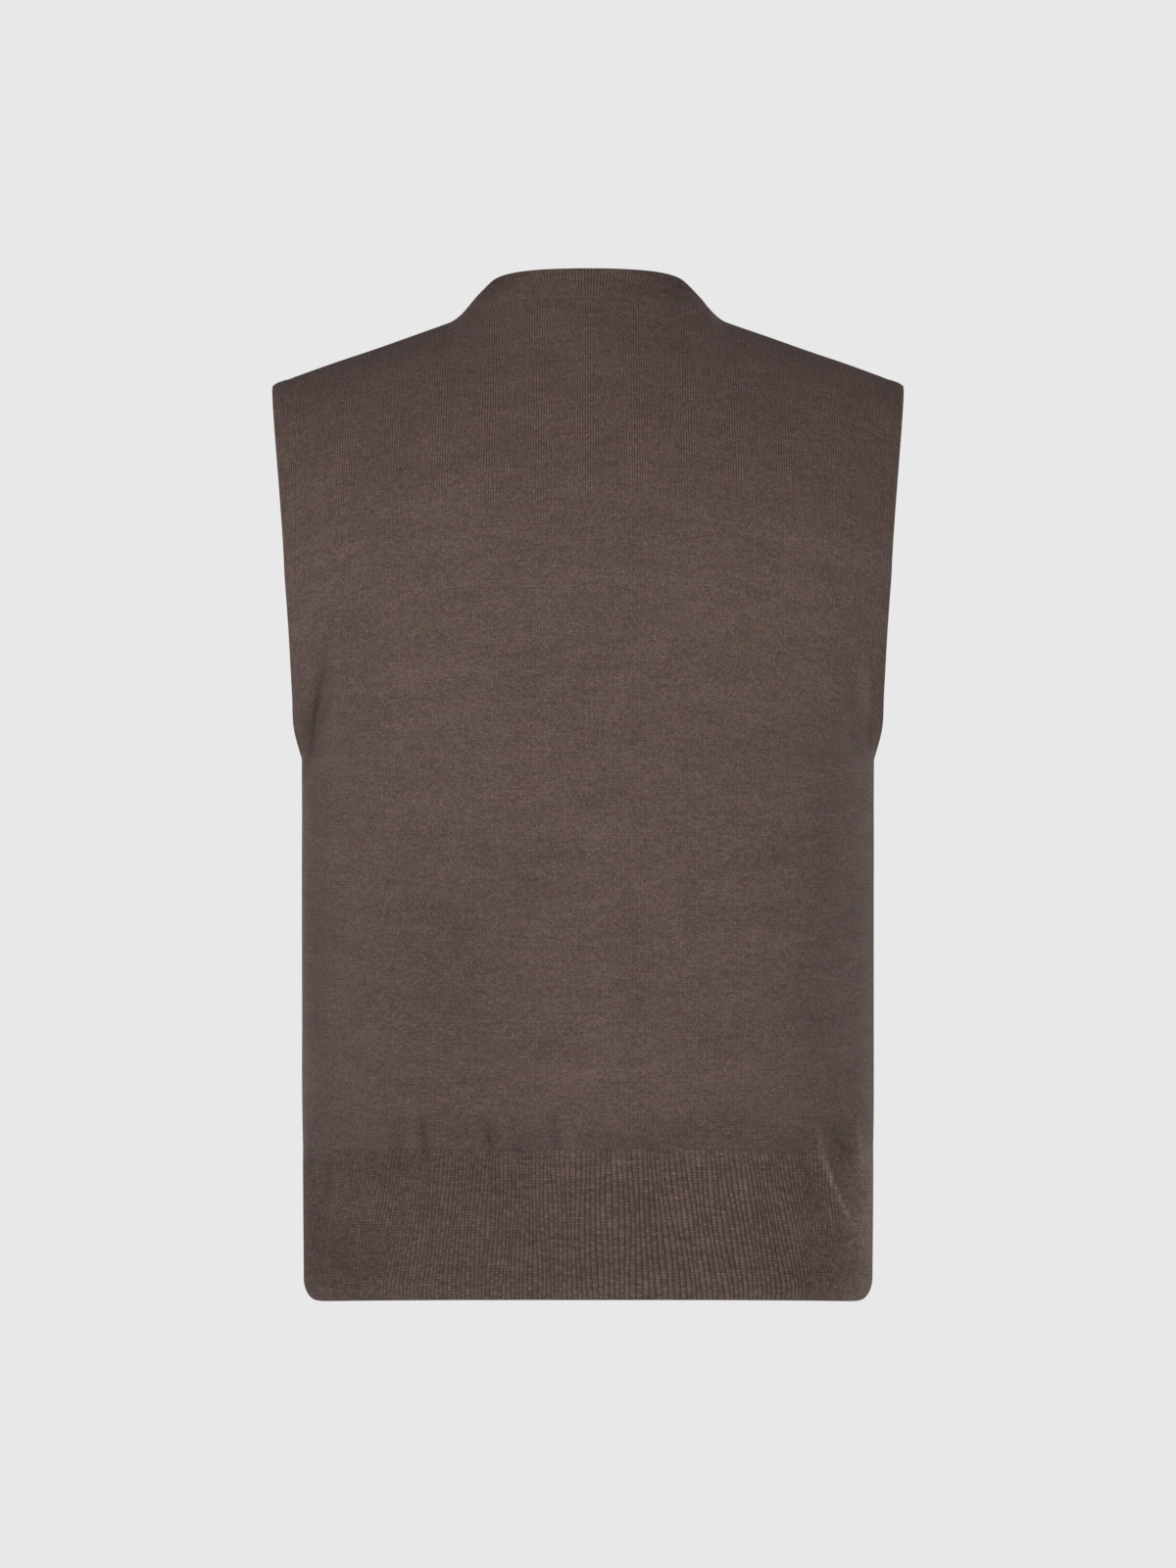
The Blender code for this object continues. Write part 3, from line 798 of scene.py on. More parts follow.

# creases in millimetres, each through three places: across and up three times, width, depth,
# and at times a tone of painted light or shade; ridges are positive in depth, and some are broad patches of
# painted light or shade
panelCreases = {
    backSide: (
        (-175.5, 436, -187, 386, -226, 351, 7.2, -3.2, -0.26),
        (-179, 424, -189, 388, -226, 352, 1.9, -1, -0.28),
        (-202, 424, -208, 390, -226, 350, 12, -1, -0.16),
        (-162, 432, -170, 396, -190, 352, 6, 1.4, 0.04),
        (-193, 383, -183, 388, -174, 394, 2.8, -1.2, -0.16),
        (186, 426, 191.5, 403, 197, 384, 4.8, 2.2, 0.24),
        (203, 432, 208, 404, 214, 374, 5.8, -1.3, -0.19),
        (174, 432, 178, 400, 194, 360, 6, -0.8, -0.02),
        (180, 378, 200, 366, 218, 350, 10, -1, -0.10),
        (-212, 342, -180, 322, -150, 316, 9, -1),
        (214, 340, 186, 318, 158, 306, 9, -0.9),
        (18, 330, 12, 240, 16, 140, 12, 1.5),
        (36, 320, 34, 230, 38, 130, 13, -1.5),
        (-100, 330, -105, 200, -110, 70, 70, -0.6, -0.15),
        (-200, 275, -196, 215, -204, 160, 14, -1.4, -0.12),
        (245, 370, 240, 250, 240, 120, 24, -0.8, -0.32),
        (60, 652, 130, 625, 205, 585, 24, 0.4, 0.14),
        (-168, 465, -150, 395, -135, 325, 30, -0.3, -0.10),
    ),
    frontSide: (
        (178, 430, 180, 390, 214, 350, 4.6, -1.3),
        (-180, 426, -183, 388, -216, 348, 4.8, -1.2),
        (-190, 386, -194, 368, -220, 338, 6.2, 1),
        (188, 392, 194, 370, 222, 340, 6, 0.9),
        (-206, 336, -176, 320, -148, 312, 9, -1),
        (208, 340, 182, 322, 150, 318, 9, -0.9),
        (-86, 570, -96, 520, -90, 462, 11, -0.8),
        (88, 566, 94, 515, 88, 468, 11, -0.8),
        (-28, 310, -34, 220, -30, 135, 12, 0.7),
    ),
}
hemCreases = {
    backSide: (
        (156.2, 121, 157.5, 90, 192, 47, 2.1, 1.3, 0.80),
        (196, 124, 196.2, 105, 199, 84, 2.1, 1.1, 0.60),
        (170, 122, 175, 103, 188, 84, 8, -2.4, -0.16),
        (176, 107, 183, 105, 190, 100, 2.4, -1, -0.26),
        (207, 114, 209, 55, 205, -10, 28, 2.2, 0.66),
        (143, 118, 145, 94, 160, 60, 7.5, -1.6, -0.06),
        (-128, 126, -127, 110, -125, 90, 4.2, -1.5, -0.12),
        (-109, 132, -108, 116, -106, 98, 2.8, -2.1, -0.30),
        (-117, 124, -116, 110, -114, 94, 2.6, 1.2, 0.14),
        (-67, 132, -64, 117, -62, 98, 3, -1.1, -0.19),
        (-56, 128, -53, 116, -51, 104, 2.6, 0.7, 0.09),
        (-22.5, 134, -21.5, 118, -20, 100, 2.6, -1.3, -0.24),
        (-68, 118, -46, 108, -20, 102, 5.5, -2.2),
        (-12, 122, -10, 110, -8, 96, 3, 1.6),
        (40, 118, 44, 104, 46, 90, 3.4, -1.1),
        (102, 120, 112, 114, 124, 110, 3.6, 1.6),
        (-215, 56, -180, 36, -135, 20, 18, -1, -0.18),
        (-178, 112, -184, 85, -196, 62, 5, -1.6),
    ),
    frontSide: (
        (-150, 118, -168, 82, -206, 60, 3.6, 1.4),
        (-176, 112, -186, 88, -200, 68, 6.8, -1.5),
        (128, 124, 130, 106, 127, 86, 3.6, -1.2),
        (108, 120, 106, 106, 108, 92, 3, 0.8),
        (58, 120, 40, 108, 24, 96, 5, -1.1),
        (-30, 122, -36, 108, -34, 92, 3.2, -0.9),
        (-92, 120, -100, 112, -112, 108, 3.6, 0.9),
        (206, 110, 198, 72, 204, 30, 11, -1.2),
    ),
}
restless = {
    "waves": 14,
    "amount": 0.00028,
    "shortest": 0.030,
    "longest": 0.110,
    "headings": 0.55,
    "seed": {backSide: 39, frontSide: 41},
}


def restlessCloth(side, across, height):
    # slight waves that a light knit keeps all over
    random = np.random.default_rng(restless["seed"][side])
    total = np.zeros_like(across)
    for wave in range(restless["waves"]):
        length = random.uniform(restless["shortest"], restless["longest"])
        heading = random.normal(0.0, restless["headings"])
        phase = random.uniform(0.0, 2 * math.pi)
        along = across * math.cos(heading) + height * math.sin(heading)
        total += np.sin(2 * math.pi * along / length + phase) * length / restless["longest"]
    return restless["amount"] * total / math.sqrt(restless["waves"])


def clothPush(side, across, height, share):
    # how far folds, creases and waves push the cloth out, and the creases' painted light and shade; neither
    # at the seams
    push, tone = creaseForm(panelCreases[side] + hemCreases[side], across, height)
    push += foldDepth(folds[side], across, height)
    push += restlessCloth(side, across, height)
    push *= 1.0 - share ** creaseShape["seamPower"]
    return push, 1.0 + tone * (1.0 - share ** creaseShape["seamPaintedLightPower"])


def armholeReach(side, height):
    if height <= vest["underarm"]:
        return 0.0
    below = min(1.0, (vest["chest"] - height) / (vest["chest"] - vest["underarm"]))
    return armhole["depth"][side] * math.sqrt(1.0 - below**2)


def bodyAlong(side, height, shares):
    # x, y and reach along a level section of the body
    depth, squareness, halfWidth = (
        readTable(bodySections, name, height) for name in (sideName[side], "squareness", "halfWidth"))

    def section(edgeX, edgeY):
        return np.array(alongCurve(halfCurve(edgeX, edgeY, depth, squareness), shares))

    if height <= vest["underarm"]:
        return section(halfWidth, 0.0)
    up = (height - vest["underarm"]) / (vest["shoulderTip"] - vest["underarm"])
    edgeX = readTable(armhole, "halfWidth", height) - armhole["narrower"][side] * math.sin(math.pi * up)
    edgeY = armholeReach(side, height)
    # just above the underarm only the armhole's edge stands out
    bodyX = halfWidth * (1.0 - (edgeY / depth) ** squareness) ** (1.0 / squareness)
    close = section(bodyX, edgeY)
    settled = smoothStep(vest["underarm"], vest["underarm"] + armhole["settle"], height)
    flare = (edgeX - bodyX) * shares ** blend(*armhole["flarePower"], settled)
    close += np.stack([flare, np.zeros_like(flare), flare])
    return blend(close, section(edgeX, edgeY), settled)


hemRib = {
    "pointsPerRib": 6,
    "pitch": {  # the ribs lie closer in one half than in the other
        "place": (-1.0, -0.60, -0.30, -0.14, -0.04, 0.20, 0.60, 1.0),
        backSide: (0.00250, 0.00240, 0.00235, 0.00245, 0.00305, 0.00318, 0.00275, 0.00240),
        frontSide: (0.00300, 0.00305, 0.00312, 0.00310, 0.00300, 0.00270, 0.00255, 0.00255),
    },
    "lift": 0.0085,
    "topLift": 0.0047,
    "liftPower": 1.4,
    "relief": 0.0005,
    "fullness": 0.75,
    "unevenness": 0.30,
    "reliefFade": 0.014,
    "clear": {  # how clearly the ribs stand out, by the distance across
        "place": (-0.250, -0.200, -0.150, -0.040, 0.150, 0.185, 0.215, 0.250),
        backSide: (0.62, 0.76, 0.90, 1.0, 1.0, 0.70, 0.35, 0.30),
        frontSide: (0.45, 0.60, 0.95, 1.0, 1.0, 0.80, 0.60, 0.50),
    },
    "outerRows": 44,
    "innerRows": 20,
    "edgeRows": 4,
    "cut": (0.515, 0.105),
    "joinFrom": 0.70,
    "footLevels": 12,
    "rowPower": 1.35,
    "lean": {  # how far the ribs' feet stand aside of their tops, along the half's share
        "place": (-1.0, -0.86, -0.70, -0.55, -0.42, -0.30, -0.15,
                  0.0, 0.12, 0.26, 0.42, 0.56, 0.70, 0.86, 1.0),
        backSide: (0.0, -0.026, -0.056, -0.080, -0.070, -0.034, -0.006,
                   0.008, 0.024, 0.056, 0.078, 0.080, 0.060, 0.026, 0.0),
        frontSide: (0.0, 0.020, 0.040, 0.052, 0.046, 0.030, 0.012,
                    0.002, -0.004, -0.012, -0.020, -0.026, -0.022, -0.010, 0.0),
    },
    # slow waves along a rib and across the ribs: turns across, turns up, start, amount
    "wander": ((3.3, 0.5, 0.3, 0.0030), (6.7, -0.8, 1.9, 0.0022),
               (12.1, 1.1, 4.0, 0.0013), (20.3, -1.7, 2.2, 0.0008)),
    "courseWave": ((1.3, 0.4, 0.0, 0.0012), (3.1, -0.9, 1.0, 0.0007), (8.7, 1.6, 2.0, 0.0003)),
    "clearFrom": (0.35, 0.016),
    "wanderPower": 8,  # the ribs run straight at the side seams
    "seamPower": 200,  # and end just beside them
    "fineSteps": 2001,
    "seed": {backSide: 2, frontSide: 4},
}


def wallSection(form, rise, freeEdge):
    # the outline of a wall's cut end as (height, inset) pairs, outer face first; its free edge is rounded
    half = vest["wall"] / 2
    top = rise - half if freeEdge == "top" else rise
    low = half if freeEdge == "bottom" else 0.0
    turns = [math.pi * k / (form["edgeRows"] + 1) for k in range(1, form["edgeRows"] + 1)]

    def face(start, end, rows, inset):
        return [(blend(low, top, t ** form["rowPower"]), inset) for t in np.linspace(start, end, rows)]

    section = face(0.0, 1.0, form["outerRows"], 0.0)
    if freeEdge == "top":
        section += [(top + half * math.sin(turn), half - half * math.cos(turn)) for turn in turns]
    section += face(1.0, 0.0, form["innerRows"], 2 * half)
    if freeEdge == "bottom":
        section += [(half - half * math.sin(turn), half + half * math.cos(turn)) for turn in turns]
    return section


def panelFoot(side, shares, heights):
    # x, y and reach of the panel's lower edge, which the rib meets
    levels = np.linspace(heights.min(), heights.max(), hemRib["footLevels"])
    table = np.array([bodyAlong(side, level, shares) for level in levels])
    return [
        np.array([np.interp(height, levels, table[:, part, k]) for k, height in enumerate(heights)])
        for part in range(3)
    ]


def ribSpread(side):
    # how many ribs there are, and where each column of points stands from -1 to 1
    fine = np.linspace(-1.0, 1.0, hemRib["fineSteps"])
    pitch = through(hemRib["pitch"]["place"], hemRib["pitch"][side], fine)
    halfLength = bodyAlong(side, vest["ribTop"], np.array([1.0]))[2][0]
    steps = 0.5 * (1.0 / pitch[1:] + 1.0 / pitch[:-1]) * np.diff(fine) * halfLength
    count = np.concatenate([[0.0], np.cumsum(steps)])
    ribs = int(round(count[-1]))
    return ribs, np.interp(np.linspace(0.0, count[-1], ribs * hemRib["pointsPerRib"] + 1), count, fine)


def waving(waves, across, up):
    return sum(
        amount * np.sin(2 * math.pi * (turns * across + rise * up) + start)
        for turns, rise, start, amount in waves
    )


def raiseRibs(piece, form, seed, material, attributes):
    # ribs of real relief, read from what each point is told of its place on them
    for name, values in attributes.items():
        setAttribute(piece, name, values, "FLOAT_VECTOR" if name == "outward" else "FLOAT")
    runTree(piece, raisedRibs, {
        "Relief": form["relief"], "Fullness": form["fullness"], "Unevenness": form["unevenness"],
        "Seed": seed, "Material": material})
    piece.data.set_sharp_from_angle(angle=math.radians(vest["sharpAngle"]))


def makeHemRib(side):
    ribs, spread = ribSpread(side)
    ribPlace = np.linspace(0.0, ribs, len(spread))
    lean = through(hemRib["lean"]["place"], hemRib["lean"][side], spread)
    rise = vest["ribTop"]
    rows, outwards, uvs, ribUvs, fades, clear, paintedLightShades = [], [], [], [], [], [], []
    section = wallSection(hemRib, rise, "bottom")
    for z, inset in section:
        level = z / rise
        wander = waving(hemRib["wander"], spread, level + side)
        place = spread + lean * (1.0 - level) + wander * (1.0 - np.abs(spread) ** hemRib["wanderPower"])
        share, hand = np.abs(place), np.sign(place)
        low = liftOf(side, share, hemRib["lift"])
        high = rise + liftOf(side, share, hemRib["topLift"])
        height = blend(low, high, level)
        halfWidth, depth, drawn = hemMeasures(side, z)
        curve = halfCurve(halfWidth, 0.0, depth, hemSections["squareness"][0])
        joined = smoothStep(hemRib["joinFrom"], 1.0, level)
        ends = zip(alongCurve(curve, share), panelFoot(side, share, high))
        x, y, reach = (blend(hem, foot, joined) for hem, foot in ends)
        run = np.gradient(np.stack([hand * x, side * y], axis=1), axis=0)
        normal = np.stack([-side * run[:, 1], side * run[:, 0], np.zeros_like(x)], axis=1)
        normal[[0, -1], 1] = 0.0
        normal /= np.linalg.norm(normal, axis=1, keepdims=True)
        across = hand * reach
        push, tone = clothPush(side, across, height, share)
        push -= drawn * np.abs(normal[:, :2]).dot([hemEdge["halfWidth"], hemEdge["depth"]])
        point = np.stack([hand * x, side * y, height], axis=1)
        rows.append(point + normal * (push - inset)[:, None])
        outwards.append(normal)
        paintedLightShades.append(tone)
        fade = smoothStep(0.0, hemRib["reliefFade"], rise - z) * (1.0 - share ** hemRib["seamPower"])
        faint, settled = hemRib["clearFrom"]
        begun = blend(faint, 1.0, smoothStep(0.0, settled, rise - z))
        clear.append(begun * through(hemRib["clear"]["place"], hemRib["clear"][side], across))
        fades.append(fade * clear[-1])
        uvs.append(np.stack([across, np.full_like(across, z - rise)], axis=1))
        ribUvs.append(np.stack([ribPlace, z + waving(hemRib["courseWave"], spread, level)], axis=1))
    rows, outwards = np.array(rows), np.array(outwards)
    piece = clothMesh(f"hemRib{sideName[side].title()}Knit", rows,
                      {"cloth": np.array(uvs), "ribs": np.array(ribUvs)}, flip=side == frontSide, loop=True)
    closeEnds(piece, *rows.shape[:2])
    raiseRibs(piece, hemRib, hemRib["seed"][side], ribKnit, {
        "ribPlace": np.tile(ribPlace, len(section)), "ribFade": fades, "outward": outwards,
        "creasePaintedLightShade": paintedLightShades, "ribClear": clear})
    outer = slice(0, hemRib["outerRows"])
    print(f"{piece.name}: {len(piece.data.polygons)} faces, outer area {gridArea(rows[outer]):.4f}")
    return piece, {hand: (rows[outer, edge], outwards[outer, edge]) for hand, edge in ((-1, 0), (1, -1))}


def closeEnds(piece, rowCount, columnCount):
    # a flat face over the cut end of the wall at each side seam
    mesh = piece.data
    work = bmesh.new()
    work.from_mesh(mesh)
    work.verts.ensure_lookup_table()
    for column in (0, columnCount - 1):
        work.faces.new([work.verts[row * columnCount + column] for row in range(rowCount)])
    bmesh.ops.recalc_face_normals(work, faces=work.faces)
    work.to_mesh(mesh)
    work.free()


hemRibBack, hemRibBorders = makeHemRib(backSide)
hemRibFront = makeHemRib(frontSide)[0]


neckband = {
    "height": 0.020,
    "bulge": 0.0008,
    "lean": {backSide: 15.0, frontSide: 36.0},
    "leanSide": 45.0,
    "leanPower": 4,
    "ribs": 272,
    "pointsPerRib": 6,
    "relief": 0.0005,
    "fullness": 0.75,
    "unevenness": 0.18,
    "fan": 0.12,
    "reliefFade": 0.0015,
    "topFade": 0.0040,
    "topEdge": 0.0006,  # at the very top a trace of the ribs is left
    "outerRows": 12,
    "innerRows": 8,
    "edgeRows": 4,
    "rowPower": 1.0,
    "seed": 11,
    "seamOutward": 0.0002,
    "seamSteps": 480,
    "turnStep": 1e-3,
    "nearlyNothing": 1e-12,
}


def bandFrame(turn):
    # rise and outward directions of the band at places round the neck
    half = np.where(turn <= math.pi, turn, 2 * math.pi - turn)
    hand = np.where(turn <= math.pi, 1.0, -1.0)
    step = neckband["turnStep"]
    near = np.clip(half, step, math.pi - step)
    tangent = neckRing(near + step) - neckRing(near - step)
    middle = (half < step) | (half > math.pi - step)
    tangent[middle, 1:] = 0.0
    tangent /= np.linalg.norm(tangent, axis=1, keepdims=True)
    inward = np.stack([-tangent[:, 1], tangent[:, 0], np.zeros_like(half)], axis=1)
    inward /= np.linalg.norm(inward, axis=1, keepdims=True)
    upright = np.cross(inward, tangent)
    upright *= np.sign(upright[:, 2:])
    side = np.where(np.cos(half) > 0, neckband["lean"][backSide], neckband["lean"][frontSide])
    lean = np.radians(blend(side, neckband["leanSide"], np.sin(half) ** neckband["leanPower"]))[:, None]
    rise = np.cos(lean) * upright + np.sin(lean) * inward
    outward = np.sin(lean) * upright - np.cos(lean) * inward
    mirror = np.stack([hand, np.ones_like(hand), np.ones_like(hand)], axis=1)
    return neckRing(half) * mirror, rise * mirror, outward * mirror


def makeNeckband():
    columns = neckband["ribs"] * neckband["pointsPerRib"]
    place = np.linspace(0.0, 1.0, columns + 1)
    ribPlace = place * neckband["ribs"]
    seam = bandFrame(2 * math.pi * place)[0]
    length = np.concatenate([[0.0], np.cumsum(np.linalg.norm(np.diff(seam, axis=0), axis=1))])
    rows, outwards, uvs, ribUvs, fades = [], [], [], [], []
    for z, inset in wallSection(neckband, neckband["height"], "top"):
        share = z / neckband["height"]
        turn = 2 * math.pi * place
        turn = turn + neckband["fan"] * share * np.sin(2 * turn)
        foot, rise, outward = bandFrame(np.mod(turn, 2 * math.pi + neckband["nearlyNothing"]))
        bulge = neckband["bulge"] * math.sin(math.pi * share)
        rows.append(foot + rise * z + outward * (bulge - inset))
        outwards.append(outward[:columns])
        uvs.append(np.stack([length, np.full_like(length, z)], axis=1))
        ribUvs.append(np.stack([ribPlace, np.full_like(length, z)], axis=1))
        fromTop = neckband["height"] + neckband["topEdge"] - z
        begun = smoothStep(0.0, neckband["reliefFade"], z)
        fades.append(begun * smoothStep(0.0, neckband["topFade"], fromTop))
    rows = np.array(rows)
    piece = clothMesh("neckbandKnit", rows, {"cloth": np.array(uvs), "ribs": np.array(ribUvs)},
                      flip=False, loop=True, ring=True)
    raiseRibs(piece, neckband, neckband["seed"], bandKnit, {
        "ribPlace": np.tile(ribPlace[:columns], len(rows)), "ribFade": np.repeat(fades, columns),
        "outward": outwards})
    print(f"neckbandKnit: {len(piece.data.polygons)} faces, seam {length[-1]:.4f}, "
          f"outer area {gridArea(rows[:neckband['outerRows']]):.4f}")
    return piece, length[-1]


neckbandKnit, neckSeamLength = makeNeckband()


def makeChain(name, points, outward, values, closed=False):
    # linking stitches along a row of points
    mesh = bpy.data.meshes.new(name)
    count = len(points)
    edges = [(k, (k + 1) % count) for k in range(count if closed else count - 1)]
    mesh.from_pydata(fromShoulders(points), edges, [])
    piece = placed(name, mesh)
    setAttribute(piece, "outward", outward, "FLOAT_VECTOR")
    runTree(piece, linkedChain, {**values, "Material": chainYarn})
    print(f"{name}: {len(piece.data.polygons)} faces")
    return piece


neckChain = {
    "Pitch": 0.0019, "Length": 0.0021, "Width": 0.0008, "Thickness": 0.0006,
    "Tilt": 0.30, "Jitter": 0.10, "Seed": 5,
}
ringFoot, _, ringOutward = bandFrame(np.linspace(0.0, 2 * math.pi, neckband["seamSteps"], endpoint=False))
ringFoot += ringOutward * neckband["seamOutward"]
linkingStitches = makeChain("neckLinkingStitches", ringFoot, ringOutward, neckChain, closed=True)


panelForm = {
    "neckColumns": 40,
    "shoulderColumns": 60,
    "lowerRows": 100,
    "lowerPower": 1.25,
    "armholeRows": 52,
    "upperRows": 54,
    "underarmRowMiddle": 0.335,
    "rowBend": 5.0,
    "levels": 300,
    "fineShares": 401,
    "cut": (0.515, 0.610),
    "topStretch": 1.03,
    "levelFoot": 0.030,
    "waleColumns": (-10, -4),  # the wales' slope at the armhole is read between these
    "underRib": 0.002,
    "turnedEdge": 0.0130,
    "turnedEdgeRise": 0.00035,
    "turnedEdgeGroove": 0.0010,
    "turnedEdgeBlend": 0.003,
    "grooveWidth": 0.0016,
    "grooveBegins": 0.012,
    "grooveFades": (0.40, 0.47),
    "grooveHigher": 0.30,
    "edgeRound": 0.0009,
    "edgeSegments": 3,
    "sewnRows": 2,  # above the underarm, before the armhole's edge is rounded
}


def lowerPanel(side, shares):
    # from the rib up to the level of the fullest chest
    hem = vest["ribTop"] + liftOf(side, shares, hemRib["topLift"])
    bend = shares ** panelForm["rowBend"]
    underarmRow = blend(panelForm["underarmRowMiddle"], vest["underarm"], bend)
    lowSteps = np.arange(panelForm["lowerRows"])[:, None] / panelForm["lowerRows"]
    lowSteps = lowSteps ** panelForm["lowerPower"]
    highSteps = np.arange(panelForm["armholeRows"] + 1)[:, None] / panelForm["armholeRows"]
    edge = vest["chest"] - (vest["chest"] - vest["underarm"]) * np.cos(math.pi / 2 * highSteps)
    middle = blend(panelForm["underarmRowMiddle"], vest["chest"], highSteps)
    heights = np.concatenate([blend(hem, underarmRow, lowSteps), blend(middle, edge, bend)])
    foot = vest["ribTop"] - panelForm["underRib"]
    straight = np.linspace(foot, vest["underarm"], panelForm["levels"])
    turns = np.linspace(0.0, math.pi / 2, panelForm["levels"])[1:]
    curved = vest["chest"] - (vest["chest"] - vest["underarm"]) * np.cos(turns)
    levels = np.concatenate([straight, curved])
    fine = np.linspace(0.0, 1.0, panelForm["fineShares"])
    table = np.array([bodyAlong(side, level, fine).T for level in levels])
    # each row's points are measured from the armhole edge where that row meets it
    reaches = table[:, -1, 2]
    along = shares * np.interp(heights[:, -1:], levels, reaches) / np.interp(heights, levels, reaches)
    spots = betweenRows(table, np.interp(heights, levels, np.arange(len(levels))), along * (len(fine) - 1))
    return np.stack([spots[:, :, 0], side * spots[:, :, 1], heights], axis=2), spots[:, :, 2]


def upperPanel(side, shares, base):
    # from the chest over to the neck and the shoulder seam
    soft = softTopEdge(side, shares)
    sharp = topEdge(side, shares)
    rows = []
    for k in range(1, panelForm["upperRows"] + 1):
        up = k / panelForm["upperRows"]
        x, y, height, arc = blend(soft, sharp, up ** shoulder["softPower"])
        rise = np.sin(arc * up) / np.sin(arc)
        lean = (1.0 - np.cos(arc * up)) / (1.0 - np.cos(arc))
        x = blend(base[:, 0], x, rise ** shoulder["spread"])
        rows.append(np.stack([x, blend(base[:, 1], y, lean), blend(vest["chest"], height, rise)], axis=1))
    return np.array(rows)


def uprightWales(half, reach):
    # distance across the cloth; above the chest the wales run straight up to the neck and shoulders
    across = rowLengths(half, 1)
    across[: len(reach)] = reach
    chestX, chestReach = half[len(reach) - 1, :, 0], reach[-1]
    top = half[-1, :, 2].max()
    first, last = panelForm["waleColumns"]
    slope = (chestReach[last] - chestReach[first]) / (chestX[last] - chestX[first])
    for row in range(len(reach), len(half)):
        x = half[row, :, 0]
        beyond = chestReach[last] + slope * (x - chestX[last])
        straight = np.where(x <= chestX[last], np.interp(x, chestX, chestReach), beyond)
        up = smoothStep(vest["chest"], top, half[row, :, 2])
        across[row] = blend(straight, panelForm["topStretch"] * x, up)
    return across


def bothHands(half, mirror=1.0):
    # a half-panel's table and its mirror image in one
    return np.concatenate([mirror * half[:, :0:-1], half], axis=1)


def makePanel(side):
    inner = np.linspace(0.0, neck["share"], panelForm["neckColumns"] + 1)
    outer = np.linspace(neck["share"], 1.0, panelForm["shoulderColumns"] + 1)[1:]
    shares = np.concatenate([inner, outer])
    lower, reach = lowerPanel(side, shares)
    half = np.concatenate([lower, upperPanel(side, shares, lower[-1])])
    lengths = rowLengths(half, 1)
    grid = bothHands(half, np.array([-1.0, 1.0, 1.0]))
    across = bothHands(uprightWales(half, reach), -1.0)
    fromEdge = bothHands(lengths[:, -1:] - lengths)
    share = bothHands(shares[None, :])
    along = rowLengths(grid, 0)
    height = grid[:, :, 2]
    normals = gridNormals(grid, grid - np.array([0.0, 0.0, vest["underarm"]]))
    normals[:, :, 2] *= smoothStep(0.0, panelForm["levelFoot"], height - height[:1])
    keepSeams(normals)

    push, tone = clothPush(side, across, height, share)
    # the turned armhole edge is a little thicker, and a groove shows where it is linked down
    strong = blend(1.0, panelForm["grooveHigher"], smoothStep(*panelForm["grooveFades"], height))
    strong *= smoothStep(vest["underarm"], vest["underarm"] + panelForm["grooveBegins"], height)
    inside = panelForm["turnedEdge"]
    within = smoothStep(inside, inside - panelForm["turnedEdgeBlend"], fromEdge)
    groove = np.exp(-(((fromEdge - inside) / panelForm["grooveWidth"]) ** 2))
    push += strong * (panelForm["turnedEdgeRise"] * within - panelForm["turnedEdgeGroove"] * groove)

    shaped = grid + normals * push[:, :, None]
    piece = clothMesh(f"{sideName[side]}PanelKnit", shaped, {"cloth": np.stack([across, along], axis=2)},
                      flip=side == frontSide)
    setAttribute(piece, "creasePaintedLightShade", tone)
    roundArmholes(piece, grid.shape[:2])
    for material in (bodyKnit, purlKnit):
        piece.data.materials.append(material)
    thicken = piece.modifiers.new("wall", "SOLIDIFY")
    thicken.thickness = vest["wall"]
    thicken.offset = -1.0
    thicken.material_offset = 1
    thicken.material_offset_rim = 0
    soften = piece.modifiers.new("roundedEdge", "BEVEL")
    soften.limit_method = "WEIGHT"
    soften.width = panelForm["edgeRound"]
    soften.segments = panelForm["edgeSegments"]
    area = gridArea(grid)
    print(f"{piece.name}: {len(piece.data.polygons)} faces, area {area:.4f}, length {along.max():.4f}, "
          f"width {2 * across.max():.4f}")
    rows, columns = slice(0, panelForm["lowerRows"] + 1), panelForm["shoulderColumns"] + 1
    seams = {
        hand: ((shaped[rows, edge], normals[rows, edge]), (shaped[-1, tip], normals[-1, tip]))
        for hand, edge, tip in ((-1, 0, slice(0, columns)), (1, -1, slice(-columns, None)))
    }
    return piece, area, seams


def keepSeams(normals):
    # the side and shoulder edges stay in the seam plane
    columns = panelForm["shoulderColumns"] + 1
    normals[: panelForm["lowerRows"] + 1, [0, -1], 1] = 0.0
    normals[-1, :columns, 1] = 0.0
    normals[-1, -columns:, 1] = 0.0
    normals /= np.linalg.norm(normals, axis=2, keepdims=True)


def roundArmholes(piece, shape):
    # weights for the bevel, on the armhole edges alone; the other edges stay sharp where they are sewn
    rowCount, columnCount = shape
    mesh = piece.data
    ends = np.zeros(len(mesh.edges) * 2, dtype=np.int32)
    mesh.edges.foreach_get("vertices", ends)
    rows, columns = np.divmod(ends.reshape(-1, 2), columnCount)
    onSide = (columns == 0).all(axis=1) | (columns == columnCount - 1).all(axis=1)
    onEnd = (rows == 0).all(axis=1) | (rows == rowCount - 1).all(axis=1)
    above = (rows >= panelForm["lowerRows"] + panelForm["sewnRows"]).all(axis=1)
    sharp = mesh.attributes.new("sharp_edge", "BOOLEAN", "EDGE")
    sharp.data.foreach_set("value", onEnd | (onSide & ~above))
    weight = mesh.attributes.new("bevel_weight_edge", "FLOAT", "EDGE")
    weight.data.foreach_set("value", (onSide & above).astype(np.float32))


backPanel, backArea, panelSeams = makePanel(backSide)
frontPanel, frontArea = makePanel(frontSide)[:2]

